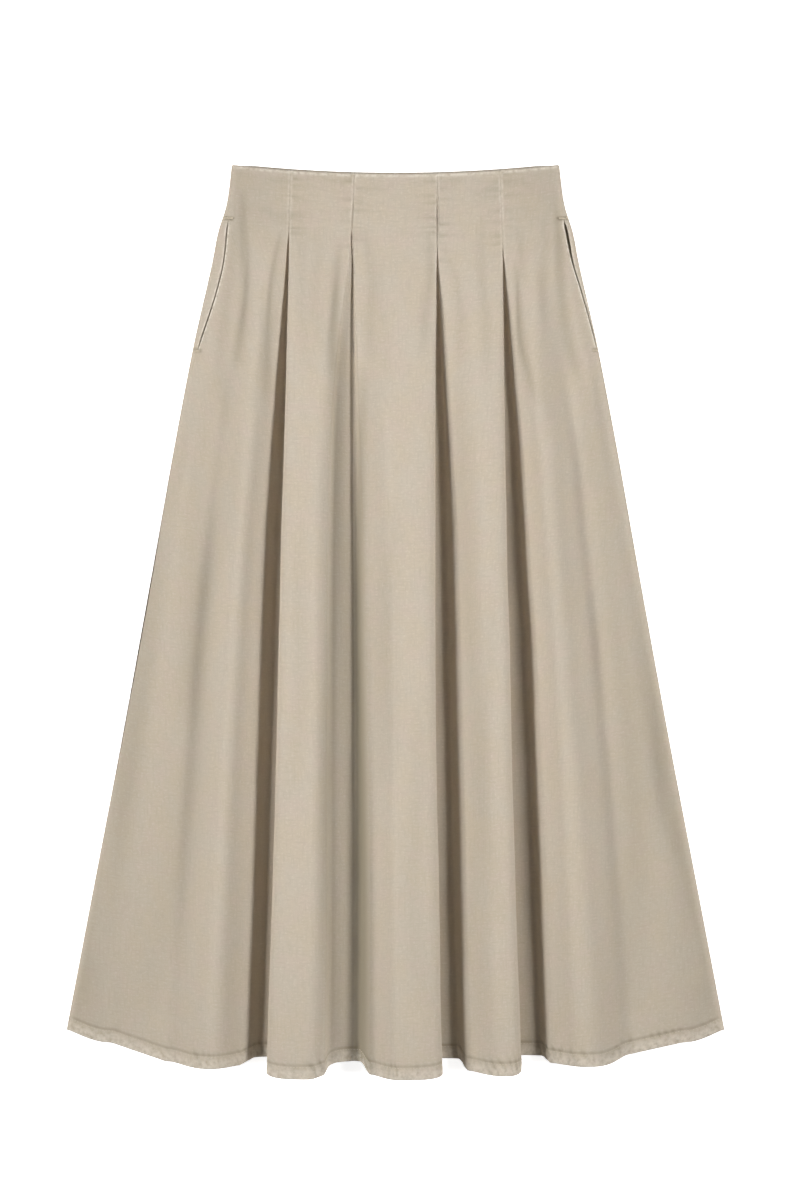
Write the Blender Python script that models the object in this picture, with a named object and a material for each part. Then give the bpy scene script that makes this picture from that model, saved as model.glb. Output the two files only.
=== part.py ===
"""An A-line midi skirt laid flat with its front up, in the pieces that a maker cuts and sews.

Sizes are in millimetres and become metres when a mesh is made.  X runs across the skirt, +Y points to
the waist and +Z up from the surface that it lies on.  "Down" is the distance below the waist corners.
The back lies flat, rolls up at both sides and meets the front there.  The front stands up in five
flutes between four pleats, which are stitched shut near the waist and open below into deep valleys.
"""

import math
from collections import namedtuple

import bmesh
import bpy
import numpy as np

MM = 0.001

# Cloth
CLOTH = 1.2
TURNED_EDGE = 1.9
SEAM_GAP = 0.3
SLIT_GAP = 1.4

# The whole outline
LENGTH = 908.5
WAIST_Y = LENGTH / 2
FRONT_WAIST_DIP = 9.0
BACK_WAIST_RISE = 1.5
BACK_RISE_RUN = 20.0
HEM_CORNER_DOWN = 863.0
BACK_HEM_SAG = 21.0
HEM_TURN = 11.5
WAIST_TURN = 5.0
TURN_STEP = 0.6

# Heights above the surface
SIDE_ROLL_RADIUS = 2.6
SHEET_TOP = 2 * SIDE_ROLL_RADIUS
VALLEY_FLOOR = 4.4

# How folds open below the stitching
STITCH_GROOVE_WIDTH = 1.2
OPENING_POWER = 1.4
FLUTE_RISE = 160.0
SIDE_RISE_START = 60.0
SHELF_REACH = 120.0
FLOOR_CORNER = 2.0
CRISP_POWER = 0.70

# Number of steps along each stretch of a section, and of rows from waist to hem
CAP_STEPS = 5
FLANK_STEPS = 3
TROUGH_STEPS = 4
ROLL_STEPS = 6
BACK_FLAT_STEPS = 6
ROWS = 20
ROW_POWER = 1.35

Outline = namedtuple("Outline", "down half_width")
OUTLINE = (
    Outline(0, 163.5),
    Outline(42, 169.5),
    Outline(66, 177.0),
    Outline(94, 182.5),
    Outline(174, 200.5),
    Outline(254, 216.0),
    Outline(414, 244.5),
    Outline(574, 273.5),
    Outline(734, 304.0),
    Outline(863, 328.5),
)

# How a flute ends at a valley: the share of its height where its lip is; how far its wall runs out
# from there to its foot, or in under the flute where that is negative; and how softly it rolls down
# to its lip, 1 a plain round and 2 an S, or 0 for a side that is flat nearly up to a crisp lip
Lip = namedtuple("Lip", "share run roll")
SOFT = Lip(0.34, 8.0, 1.5)
LOW = Lip(0.50, 15.0, 1.2)
HIGH = Lip(0.72, 4.0, 1.0)
GENTLE = Lip(0.40, 9.0, 1.9)
CRISP = Lip(0.68, -7.0, 0)

# Two points down a wall, by the share of its run and of its height over the floor: on a plain wall,
# and on the low fold that lies beside the second valley, which has a dip and a ridge
PLAIN_WALL = ((0.48, 0.50), (0.90, 0.12))
LOW_FOLD = ((0.22, 0.42), (0.62, 0.38))
# How far the hem has changed, from the lip's to the floor's, at those two points, and at the lip from
# the floor's to the crest's
WALL_HEM = (0.55, 0.95)
LIP_HEM = 0.72

# A stitched pleat and the valley below it.  "guide" is the side whose lip runs nearly straight from
# the stitching to the hem: +1 is the right lip and -1 the left one.  The other lip swings away from it.
Valley = namedtuple(
    "Valley",
    "waist_x release_x hem_x bow guide width reach release hem_down shelf floor_rise left_lip right_lip",
)
VALLEYS = (
    Valley(-104.5, -106.5, -129.5, 0.0, 1, 25.0, 250, 62, 889.5, 0.0, 0.0, LOW, CRISP),
    Valley(-40.5, -44.0, -28.0, 6.5, 1, 18.5, 275, 73, 893.0, 22.5, 5.5, HIGH, GENTLE),
    Valley(42.0, 42.0, 47.5, -4.5, -1, 22.5, 240, 86, 891.0, 0.0, 0.0, CRISP, SOFT),
    Valley(104.5, 107.0, 125.5, -2.5, -1, 27.5, 290, 74, 888.0, 0.0, 0.0, CRISP, SOFT),
)

# Heights of the flutes over the surface that the skirt lies on, and the place of each crest between
# the valleys on its left (0) and on its right (1)
Flute = namedtuple("Flute", "height hem_down crest")
FLUTES = (
    Flute(38.0, 898.0, 0.62),
    Flute(41.0, 908.0, 0.70),
    Flute(44.0, LENGTH, 0.42),
    Flute(40.0, 905.0, 0.66),
    Flute(37.0, 896.0, 0.58),
)

# The soft trough and the flank between an outer flute and the side, measured in from the outline
Side = namedtuple("Side", "sign trough_waist trough_hem trough_height trough_hem_down flank_height")
SIDES = (
    Side(-1, 26.0, 99.0, 12.0, 893.0, 14.0),
    Side(1, 26.0, 93.0, 11.0, 886.0, 13.0),
)
FLANK_SHARE = 0.46
FLANK_HEM_DOWN = 874.5
TROUGH_POWER = 1.4

# Where the side seam runs, as its distance round the side roll from the outermost point
SeamPath = namedtuple("SeamPath", "down left right")
SEAM_PATH = (
    SeamPath(0, 2.0, 2.0),
    SeamPath(46, 5.8, 5.5),
    SeamPath(60, 8.8, 7.0),
    SeamPath(92, 12.3, 7.5),
    SeamPath(127, 11.8, 5.0),
    SeamPath(182, 6.5, 2.5),
    SeamPath(240, 2.0, 2.0),
    SeamPath(863, 2.0, 2.0),
)
SLIT_TOP = 54.0
SLIT_BOTTOM = 180.0
SLIT_END = 6.0

# Pocket bag, as points from the mouth of the left pocket round the bag
BagPoint = namedtuple("BagPoint", "x down")
POCKET_BAG = (
    BagPoint(-163.0, 58),
    BagPoint(-110.0, 62),
    BagPoint(-72.0, 110),
    BagPoint(-66.0, 200),
    BagPoint(-84.0, 292),
    BagPoint(-128.0, 318),
    BagPoint(-172.0, 290),
    BagPoint(-192.0, 176),
    BagPoint(-176.0, 112),
)
BAG_BOTTOM = CLOTH + SEAM_GAP
BAG_THICK = 1.3

# Concealed zip at the centre back
ZIP_LENGTH = 200.0
ZIP_TAPE_WIDTH = 24.0
ZIP_TAPE_THICK = 0.8
ZIP_TOP_INSET = 8.0
SLIDER_THICK = 1.1
SLIDER_WIDTH = 6.0
SLIDER_LENGTH = 10.0
TAB_WIDTH = 3.6
TAB_LENGTH = 14.0

CLOTH_COLOUR = (0.56, 0.485, 0.40)
BAG_COLOUR = (0.63, 0.58, 0.51)
TAPE_COLOUR = (0.50, 0.44, 0.36)
METAL_COLOUR = (0.60, 0.55, 0.47)


def smooth_curve(rows, column, down):
    """Value of a table's column at a distance down, on a smooth curve through its rows."""
    downs = np.array([row.down for row in rows], float)
    values = np.array([getattr(row, column) for row in rows], float)
    slopes = np.gradient(values, downs)
    down = min(max(down, downs[0]), downs[-1])
    i = min(int(np.searchsorted(downs, down, side="right")) - 1, len(downs) - 2)
    span = downs[i + 1] - downs[i]
    t = (down - downs[i]) / span
    start = values[i] * (1 + 2 * t) * (1 - t) ** 2 + slopes[i] * span * t * (1 - t) ** 2
    end = values[i + 1] * t * t * (3 - 2 * t) + slopes[i + 1] * span * t * t * (t - 1)
    return float(start + end)


def half_width(down):
    return smooth_curve(OUTLINE, "half_width", down)


def seam_distance(sign, down):
    return smooth_curve(SEAM_PATH, "left" if sign < 0 else "right", down)


def opening(distance, reach):
    """Grows from 0 at the end of the stitching towards 1 below it."""
    return 1 - math.exp(-((max(distance, 0) / reach) ** OPENING_POWER))


def rise(distance):
    return 1 - math.exp(-max(distance, 0) / FLUTE_RISE)


def smoothstep(t):
    t = min(max(t, 0), 1)
    return t * t * (3 - 2 * t)


def waist_dip(x):
    """How far the front's waist edge lies below the waist corners."""
    return FRONT_WAIST_DIP * max(0, 1 - (x / OUTLINE[0].half_width) ** 2)


def down_at(x, share, hem_down):
    return waist_dip(x) * (1 - share) + hem_down * share


class Point:
    """A point of a section: its place across, its height, how far down its hem is, and its Y."""

    def __init__(self, x, z, hem_down):
        self.x = x
        self.z = z
        self.hem_down = hem_down
        self.y = None


def valley_line(valley, down):
    """Where a valley runs: straight along its stitching, then bowed from its release to the hem."""
    if down < valley.release:
        return valley.waist_x + (valley.release_x - valley.waist_x) * down / valley.release
    t = (down - valley.release) / (valley.hem_down - valley.release)
    return valley.release_x + (valley.hem_x - valley.release_x) * t + valley.bow * math.sin(math.pi * t)


class OpenValley:
    """A valley's sizes at one share of the way from waist to hem."""

    def __init__(self, valley, share, inset):
        self.row = valley
        self.inset = inset
        self.down = down_at(valley.waist_x, share, valley.hem_down)
        below = self.down - valley.release
        self.open = opening(below, valley.reach)
        width = STITCH_GROOVE_WIDTH + valley.width * self.open
        guide_x = valley_line(valley, self.down) + valley.guide * STITCH_GROOVE_WIDTH / 2
        self.left = guide_x - (width if valley.guide > 0 else 0)
        self.right = guide_x + (width if valley.guide < 0 else 0)
        self.shelf = valley.shelf * opening(below, SHELF_REACH)
        self.floor = VALLEY_FLOOR + valley.floor_rise * rise(below) - inset
        self.corner = min(FLOOR_CORNER, 0.2 * width)

    def lip(self, side):
        return self.row.left_lip if side < 0 else self.row.right_lip

    def lip_x(self, side):
        """Lip of the flute on the left (-1) or the right (+1) of the valley."""
        if side < 0:
            return self.left - self.shelf - self.inset
        return self.right + self.inset

    def lip_z(self, side, crest_z):
        return self.floor + self.lip(side).share * (crest_z - self.floor)


def crest_height(flute, down, start):
    return SHEET_TOP + (flute.height - SHEET_TOP) * rise(down - start)


def cap(valley, side, crest_x, crest_z, crest_hem):
    """From a valley's lip up to the crest of the flute on that side, the lip first."""
    lip_x = valley.lip_x(side)
    lip_z = valley.lip_z(side, crest_z)
    roll = valley.lip(side).roll
    floor_hem = valley.row.hem_down
    lip_hem = floor_hem + (crest_hem - floor_hem) * LIP_HEM
    points = []
    for k in range(CAP_STEPS):
        angle = math.pi / 2 * k / CAP_STEPS
        along = k / CAP_STEPS
        across = along if roll else 1 - math.cos(angle) ** CRISP_POWER
        up = math.sin(angle) ** (roll or CRISP_POWER)
        points.append(
            Point(
                lip_x + (crest_x - lip_x) * across,
                lip_z + (crest_z - lip_z) * up,
                lip_hem + (crest_hem - lip_hem) * math.sin(angle),
            )
        )
    return points


def wall_to_floor(valley, side, crest_z, crest_hem):
    """Below a lip down to the valley's floor: a plain wall, or one that is stepped by a low fold."""
    lip_x = valley.lip_x(side)
    depth = valley.lip_z(side, crest_z) - valley.floor
    floor_hem = valley.row.hem_down
    lip_hem = floor_hem + (crest_hem - floor_hem) * LIP_HEM
    if side < 0 and valley.row.shelf > 0:
        grown = valley.shelf / valley.row.shelf
        places = [
            (lip_x + across * valley.shelf, plain + (height - plain) * grown)
            for (across, height), plain in zip(LOW_FOLD, (2 / 3, 1 / 3))
        ]
        corner_x = lip_x + valley.shelf + valley.corner
    else:
        run = -side * valley.lip(side).run * valley.open
        places = [(lip_x + across * run, height) for across, height in PLAIN_WALL]
        corner_x = lip_x + run - side * valley.corner
    points = []
    for (x, height), along in zip(places, WALL_HEM):
        points.append(
            Point(x, valley.floor + depth * height, lip_hem + (floor_hem - lip_hem) * along)
        )
    points.append(Point(corner_x, valley.floor, floor_hem))
    return points


def side_surface(side, distance, share, inset):
    """A point of the outer surface near one side, by its distance round from the outermost point."""
    quarter = math.pi / 2 * SIDE_ROLL_RADIUS
    edge_down = HEM_CORNER_DOWN * share
    width = half_width(edge_down)
    if distance <= quarter:
        angle = distance / SIDE_ROLL_RADIUS
        radius = SIDE_ROLL_RADIUS - inset
        inward = SIDE_ROLL_RADIUS - radius * math.cos(angle)
        height = SIDE_ROLL_RADIUS + radius * math.sin(angle)
        return Point(side.sign * (width - inward), height, HEM_CORNER_DOWN)
    inward = SIDE_ROLL_RADIUS + distance - quarter
    trough = trough_inward(side, share)
    flank = FLANK_SHARE * trough
    grow = rise(edge_down - SIDE_RISE_START)
    flank_z = SHEET_TOP + (side.flank_height - SHEET_TOP) * grow
    t = (inward - SIDE_ROLL_RADIUS) / (flank - SIDE_ROLL_RADIUS)
    height = SHEET_TOP + (flank_z - SHEET_TOP) * smoothstep(t)
    hem = HEM_CORNER_DOWN + (FLANK_HEM_DOWN - HEM_CORNER_DOWN) * math.sin(math.pi / 2 * min(t, 1))
    return Point(side.sign * (width - inward), height - inset, hem)


def trough_inward(side, share):
    return side.trough_waist + (side.trough_hem - side.trough_waist) * share**TROUGH_POWER


def outer_part(side, valley, flute, share, inset):
    """The front from the crest of an outer flute to the side seam, the crest first."""
    quarter = math.pi / 2 * SIDE_ROLL_RADIUS
    width = half_width(HEM_CORNER_DOWN * share)
    trough_in = trough_inward(side, share)
    trough_x = side.sign * (width - trough_in)
    lip_x = valley.lip_x(side.sign)
    crest_x = trough_x + (lip_x - trough_x) * flute.crest
    crest_z = crest_height(flute, valley.down, valley.row.release) - inset
    grow = rise(valley.down - SIDE_RISE_START)
    trough_z = SHEET_TOP + (side.trough_height - SHEET_TOP) * grow - inset
    flank_in = FLANK_SHARE * trough_in
    flank = side_surface(side, quarter + flank_in - SIDE_ROLL_RADIUS, share, inset)
    points = []
    for k in range(TROUGH_STEPS):
        t = smoothstep(k / TROUGH_STEPS)
        along = k / TROUGH_STEPS
        points.append(
            Point(
                crest_x + (trough_x - crest_x) * along,
                crest_z + (trough_z - crest_z) * t,
                flute.hem_down + (side.trough_hem_down - flute.hem_down) * t**2,
            )
        )
    for k in range(FLANK_STEPS):
        t = smoothstep(k / FLANK_STEPS)
        along = k / FLANK_STEPS
        points.append(
            Point(
                trough_x + (flank.x - trough_x) * along,
                trough_z + (flank.z - trough_z) * t,
                side.trough_hem_down + (flank.hem_down - side.trough_hem_down) * along,
            )
        )
    seam = seam_distance(side.sign, HEM_CORNER_DOWN * share) + seam_opening(share) / 2
    reach = quarter + flank_in - SIDE_ROLL_RADIUS - seam
    for k in range(ROLL_STEPS + 1):
        distance = seam + reach * (1 - k / ROLL_STEPS) ** 2
        points.append(side_surface(side, distance, share, inset))
    return points, crest_x, crest_z


def seam_opening(share):
    """The gap at the side seam, wider along the pocket's slit."""
    down = HEM_CORNER_DOWN * share
    top = smoothstep((down - SLIT_TOP) / SLIT_END)
    bottom = smoothstep((SLIT_BOTTOM - down) / SLIT_END)
    return SEAM_GAP + (SLIT_GAP - SEAM_GAP) * min(top, bottom)


def front_section(share, inset):
    """Points across the front, left to right, at one share of the way from waist to hem."""
    valleys = [OpenValley(v, share, inset) for v in VALLEYS]
    left_part, left_crest_x, left_crest_z = outer_part(SIDES[0], valleys[0], FLUTES[0], share, inset)
    right_part, right_crest_x, right_crest_z = outer_part(
        SIDES[1], valleys[-1], FLUTES[-1], share, inset
    )
    crests = [(left_crest_x, left_crest_z)]
    for i in range(1, len(FLUTES) - 1):
        before, after = valleys[i - 1], valleys[i]
        left = before.lip_x(1)
        x = left + (after.lip_x(-1) - left) * FLUTES[i].crest
        down = (before.down + after.down) / 2
        start = (before.row.release + after.row.release) / 2
        crests.append((x, crest_height(FLUTES[i], down, start) - inset))
    crests.append((right_crest_x, right_crest_z))
    points = left_part[::-1]
    for i, valley in enumerate(valleys):
        (x1, z1), (x2, z2) = crests[i], crests[i + 1]
        hem1, hem2 = FLUTES[i].hem_down, FLUTES[i + 1].hem_down
        points += cap(valley, -1, x1, z1, hem1)[::-1]
        points += wall_to_floor(valley, -1, z1, hem1)
        left_corner = points[-1]
        right_wall = wall_to_floor(valley, 1, z2, hem2)[::-1]
        middle_x = (left_corner.x + right_wall[0].x) / 2
        points.append(Point(middle_x, valley.floor, valley.row.hem_down))
        points += right_wall
        points += cap(valley, 1, x2, z2, hem2)
        if i < len(valleys) - 1:
            points.append(Point(x2, z2, hem2))
    points += right_part
    return points


def row_shares(length):
    """Rows from waist to hem, closer together near the waist, with a step at each turned edge."""
    shares = [(k / ROWS) ** ROW_POWER for k in range(ROWS + 1)]
    steps = [WAIST_TURN, WAIST_TURN + TURN_STEP, length - HEM_TURN - TURN_STEP, length - HEM_TURN]
    steps += [SLIT_TOP, SLIT_TOP + SLIT_END, SLIT_BOTTOM - SLIT_END, SLIT_BOTTOM]
    return sorted(shares + [step / length for step in steps])


def wall_thickness(share, length):
    down = share * length
    turned = down <= WAIST_TURN + TURN_STEP / 2 or down >= length - HEM_TURN - TURN_STEP / 2
    return TURNED_EDGE if turned else CLOTH


def material(name, colour, roughness, metallic=0.0):
    made = bpy.data.materials.new(name)
    made.use_nodes = True
    shader = made.node_tree.nodes["Principled BSDF"]
    shader.inputs["Base Color"].default_value = (*colour, 1)
    shader.inputs["Roughness"].default_value = roughness
    shader.inputs["Metallic"].default_value = metallic
    return made


def add_object(name, bm, surface):
    bmesh.ops.recalc_face_normals(bm, faces=bm.faces[:])
    mesh = bpy.data.meshes.new(name)
    bm.to_mesh(mesh)
    bm.free()
    mesh.materials.append(surface)
    mesh.shade_smooth()
    mesh.set_sharp_from_angle(angle=math.radians(50))
    made = bpy.data.objects.new(name, mesh)
    bpy.context.collection.objects.link(made)
    return made


def wall(name, outer_rows, inner_rows, surface):
    """A closed cloth wall between two grids of points of the same size, given in millimetres."""
    bm = bmesh.new()
    outer = [[bm.verts.new([c * MM for c in point]) for point in row] for row in outer_rows]
    inner = [[bm.verts.new([c * MM for c in point]) for point in row] for row in inner_rows]
    last_row = len(outer) - 1
    last_column = len(outer[0]) - 1
    for r in range(last_row):
        for c in range(last_column):
            bm.faces.new((outer[r][c], outer[r][c + 1], outer[r + 1][c + 1], outer[r + 1][c]))
            bm.faces.new((inner[r][c], inner[r + 1][c], inner[r + 1][c + 1], inner[r][c + 1]))
        for c in (0, last_column):
            bm.faces.new((outer[r][c], outer[r + 1][c], inner[r + 1][c], inner[r][c]))
    for c in range(last_column):
        for r in (0, last_row):
            bm.faces.new((outer[r][c], outer[r][c + 1], inner[r][c + 1], inner[r][c]))
    return add_object(name, bm, surface)


def slab(name, outline, bottom, thickness, surface):
    """A flat closed piece from its outline in X and Y."""
    bm = bmesh.new()
    low = [bm.verts.new((x * MM, y * MM, bottom * MM)) for x, y in outline]
    high = [bm.verts.new((x * MM, y * MM, (bottom + thickness) * MM)) for x, y in outline]
    bm.faces.new(low)
    bm.faces.new(high)
    for i in range(len(outline)):
        j = (i + 1) % len(outline)
        bm.faces.new((low[i], low[j], high[j], high[i]))
    return add_object(name, bm, surface)


def front_panel(surface):
    length = HEM_CORNER_DOWN
    outer_rows = []
    inner_rows = []
    for share in row_shares(length):
        for rows, inset in ((outer_rows, 0), (inner_rows, wall_thickness(share, length))):
            points = front_section(share, inset)
            for point in points:
                point.y = WAIST_Y - down_at(point.x, share, point.hem_down)
            rows.append([(point.x, point.y, point.z) for point in points])
    return wall("front_panel", outer_rows, inner_rows, surface)


def back_section(side, share, inset):
    """One half of the back, from its seam with the front round the side roll to the centre seam."""
    quarter = math.pi / 2 * SIDE_ROLL_RADIUS
    seam = seam_distance(side.sign, HEM_CORNER_DOWN * share) - seam_opening(share) / 2
    distances = [seam * (1 - k / ROLL_STEPS) for k in range(ROLL_STEPS)]
    distances += [-quarter * k / ROLL_STEPS for k in range(ROLL_STEPS + 1)]
    points = [side_surface(side, distance, share, inset) for distance in distances]
    for point in points:
        point.y = WAIST_Y - down_at(point.x, share, point.hem_down)
    edge = abs(points[-1].x)
    for k in range(1, BACK_FLAT_STEPS + 1):
        x = edge + (SEAM_GAP / 2 - edge) * k / BACK_FLAT_STEPS
        hem = HEM_CORNER_DOWN + BACK_HEM_SAG * (1 - (x / edge) ** 2)
        raised = BACK_WAIST_RISE * min(1, (edge - x) / BACK_RISE_RUN) * (1 - share)
        point = Point(side.sign * x, inset, hem)
        point.y = WAIST_Y - down_at(x, share, hem) + raised
        points.append(point)
    return points


def back_panel(name, side, surface):
    length = HEM_CORNER_DOWN
    outer_rows = []
    inner_rows = []
    for share in row_shares(length):
        for rows, inset in ((outer_rows, 0), (inner_rows, wall_thickness(share, length))):
            points = back_section(side, share, inset)
            rows.append([(point.x, point.y, point.z) for point in points])
    return wall(name, outer_rows, inner_rows, surface)


def pocket_bag(name, sign, surface):
    """A flat bag behind the mouth in the side seam, smoothed through its outline's points."""
    points = np.array([(sign * -row.x, WAIST_Y - row.down) for row in POCKET_BAG])
    count = len(points)
    steps = 3
    outline = []
    for i in range(count):
        a, b, c, d = (points[(i + k) % count] for k in (-1, 0, 1, 2))
        for k in range(steps):
            t = k / steps
            along = b + (c - a) / 2 * t + (2 * a - 5 * b + 4 * c - d) / 2 * t * t
            outline.append(along + (3 * b - a - 3 * c + d) / 2 * t**3)
    return slab(name, outline, BAG_BOTTOM, BAG_THICK, surface)


def zip_parts(tape_surface, metal):
    top = WAIST_Y - FRONT_WAIST_DIP + BACK_WAIST_RISE - ZIP_TOP_INSET
    half = ZIP_TAPE_WIDTH / 2
    tape = [(-half, top), (half, top), (half, top - ZIP_LENGTH), (-half, top - ZIP_LENGTH)]
    tape_bottom = CLOTH + SEAM_GAP
    slab("zip_tape", tape, tape_bottom, ZIP_TAPE_THICK, tape_surface)
    body_end = top - SLIDER_LENGTH
    tab_end = body_end - TAB_LENGTH
    w, t = SLIDER_WIDTH / 2, TAB_WIDTH / 2
    slider = [(-w, top), (w, top), (w, body_end), (t, body_end), (t, tab_end)]
    slider += [(-t, tab_end), (-t, body_end), (-w, body_end)]
    slider_bottom = tape_bottom + ZIP_TAPE_THICK + SEAM_GAP
    slab("zip_slider", slider, slider_bottom, SLIDER_THICK, metal)


def build():
    for old in list(bpy.data.objects):
        bpy.data.objects.remove(old)
    cloth = material("washed_cotton_linen", CLOTH_COLOUR, 0.9)
    bag_cloth = material("pocketing_cotton", BAG_COLOUR, 0.9)
    tape_cloth = material("zip_tape_polyester", TAPE_COLOUR, 0.7)
    metal = material("zip_slider_zinc", METAL_COLOUR, 0.35, 1.0)
    front_panel(cloth)
    for name, side in zip(("back_left", "back_right"), SIDES):
        back_panel(name, side, cloth)
    for name, side in zip(("pocket_bag_left", "pocket_bag_right"), SIDES):
        pocket_bag(name, side.sign, bag_cloth)
    zip_parts(tape_cloth, metal)


build()
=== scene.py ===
"""The looks of a washed cotton-linen A-line midi skirt that lies flat with its front up.

Forms are worked out in millimetres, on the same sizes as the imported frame, and become metres when a
mesh is made.  X runs across, +Y points to the waist, +Z up.  "Down" is the distance below the waist
corners, and a "share" is the part of the way from the waist edge (0) to the hem edge (1).
"""

import math
from collections import namedtuple

import bmesh
import bpy
import numpy as np
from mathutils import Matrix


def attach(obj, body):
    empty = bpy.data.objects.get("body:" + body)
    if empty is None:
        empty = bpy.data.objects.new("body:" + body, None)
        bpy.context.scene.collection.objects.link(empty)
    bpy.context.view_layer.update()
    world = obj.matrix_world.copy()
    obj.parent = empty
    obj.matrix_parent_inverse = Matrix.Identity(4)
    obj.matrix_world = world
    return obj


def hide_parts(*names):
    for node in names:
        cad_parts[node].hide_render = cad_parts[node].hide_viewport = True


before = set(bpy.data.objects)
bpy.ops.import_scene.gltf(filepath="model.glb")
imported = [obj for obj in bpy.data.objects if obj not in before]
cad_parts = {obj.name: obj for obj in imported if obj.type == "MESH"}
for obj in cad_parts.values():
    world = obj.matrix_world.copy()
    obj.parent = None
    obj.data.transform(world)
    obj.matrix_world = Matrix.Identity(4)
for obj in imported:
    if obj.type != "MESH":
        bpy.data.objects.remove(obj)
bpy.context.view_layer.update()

MM = 0.001
BODY = "root"

# The cut, as the frame has it
LENGTH = 908.5
WAIST_Y = LENGTH / 2
FRONT_WAIST_DIP = 9.0
BACK_WAIST_RISE = 1.5
BACK_RISE_RUN = 20.0
HEM_CORNER_DOWN = 863.0
BACK_HEM_SAG = 21.0
HEM_TURN = 11.5
WAIST_TURN = 5.0
SIDE_ROLL_RADIUS = 2.6
QUARTER_ROLL = math.pi / 2 * SIDE_ROLL_RADIUS
SHEET_TOP = 2 * SIDE_ROLL_RADIUS
VALLEY_FLOOR = 4.4
STITCH_GROOVE_WIDTH = 1.2
STITCH_GROOVE_FILL = 0.45
OPENING_POWER = 1.4
FLUTE_RISE = 160.0
SIDE_RISE_START = 60.0
SHELF_REACH = 120.0
FLOOR_CORNER = 2.0
FLANK_SHARE = 0.46
CRISP_POWER = 0.70
FLANK_HEM_DOWN = 874.5
TROUGH_POWER = 1.4
RIGHT_SLOPE_DELAY = 1.25
SLIT_TOP = 54.0
SLIT_BOTTOM = 183.0
SLIT_END = 6.0
SLIT_GAP = 1.4
RIGHT_SLIT_YAWN = 1.6
YAWN_DOWN = 70.0
YAWN_RUN = 22.0
SEAM_GAP = 0.3

# Thickness of the visible cloth, plain and at a turned edge
CLOTH = 1.0
TURNED_EDGE = 1.8

Outline = namedtuple("Outline", "down half_width")
OUTLINE = (
    Outline(0, 163.5),
    Outline(42, 169.5),
    Outline(66, 177.0),
    Outline(94, 182.5),
    Outline(174, 200.5),
    Outline(254, 216.0),
    Outline(414, 244.5),
    Outline(574, 273.5),
    Outline(734, 304.0),
    Outline(863, 328.5),
)

# How a flute ends at a valley: the share of its height where its lip is; how far its wall runs out
# from there to its foot, or in under the flute where that is negative; and how softly it rolls down
# to its lip, 1 a plain round and 2 an S, or 0 for a side that is flat nearly up to a crisp lip
Lip = namedtuple("Lip", "share run roll")
SOFT = Lip(0.34, 8.0, 1.5)
LOW = Lip(0.50, 15.0, 1.2)
HIGH = Lip(0.72, 4.0, 1.0)
GENTLE = Lip(0.40, 9.0, 1.9)
CRISP = Lip(0.68, -7.0, 0)

# Two points down a wall, by the share of its run and of its height over the floor: on a plain wall,
# on one that bends down slowly, and on the low fold that lies beside the second valley, which has a
# dip and a ridge
PLAIN_WALL = ((0.48, 0.50), (0.90, 0.12))
SOFT_WALL = ((0.46, 0.74), (0.84, 0.26))
LOW_FOLD = ((0.13, 0.44), (0.47, 0.40))
# How far the hem has changed, from the lip's to the floor's, at those two points, and at the lip from
# the floor's to the crest's
WALL_HEM = (0.55, 0.95)
LIP_HEM = 0.72

# A stitched pleat and the valley below it.  "guide" is the side whose lip runs nearly straight from
# the stitching to the hem: +1 is the right lip and -1 the left one.  The other lip swings away from it.
Valley = namedtuple(
    "Valley",
    "waist_x release_x hem_x bow guide width reach release hem_down shelf floor_rise left_lip right_lip",
)
VALLEYS = (
    Valley(-104.5, -106.5, -128.0, 0.8, 1, 25.0, 250, 62, 889.5, 0.0, 0.0, LOW, CRISP),
    Valley(-40.5, -44.0, -28.0, 6.5, 1, 18.5, 275, 73, 893.0, 22.5, 6.5, HIGH, GENTLE),
    Valley(42.0, 42.0, 47.5, -4.5, -1, 22.5, 240, 86, 891.0, 0.0, 0.0, CRISP, SOFT),
    Valley(104.5, 107.0, 125.5, -2.5, -1, 27.5, 290, 74, 888.0, 0.0, 0.0, CRISP, SOFT),
)

# Heights of the flutes over the surface that the skirt lies on, and the place of each crest between
# the valleys on its left (0) and on its right (1)
Flute = namedtuple("Flute", "height hem_down crest")
FLUTES = (
    Flute(38.0, 898.0, 0.62),
    Flute(41.0, 908.0, 0.70),
    Flute(44.0, LENGTH, 0.42),
    Flute(40.0, 905.0, 0.66),
    Flute(37.0, 896.0, 0.58),
)

Side = namedtuple("Side", "sign trough_waist trough_hem trough_height trough_hem_down flank_height")
SIDES = (
    Side(-1, 26.0, 99.0, 12.0, 893.0, 14.0),
    Side(1, 26.0, 93.0, 11.0, 886.0, 13.0),
)

SeamPath = namedtuple("SeamPath", "down left right")
SEAM_PATH = (
    SeamPath(0, 2.0, 2.0),
    SeamPath(46, 5.8, 5.5),
    SeamPath(60, 8.8, 7.0),
    SeamPath(92, 12.3, 7.5),
    SeamPath(127, 11.8, 5.0),
    SeamPath(182, 6.5, 2.5),
    SeamPath(240, 2.0, 2.0),
    SeamPath(863, 2.0, 2.0),
)

# Steps along each stretch of a section of the visible cloth
CAP_STEPS = 8
TROUGH_STEPS = 8
FLANK_STEPS = 7
ROLL_STEPS = 9
BACK_FLAT_STEPS = 30
REFINE = 2


def mix(start, end, share):
    return start + (end - start) * share


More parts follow.
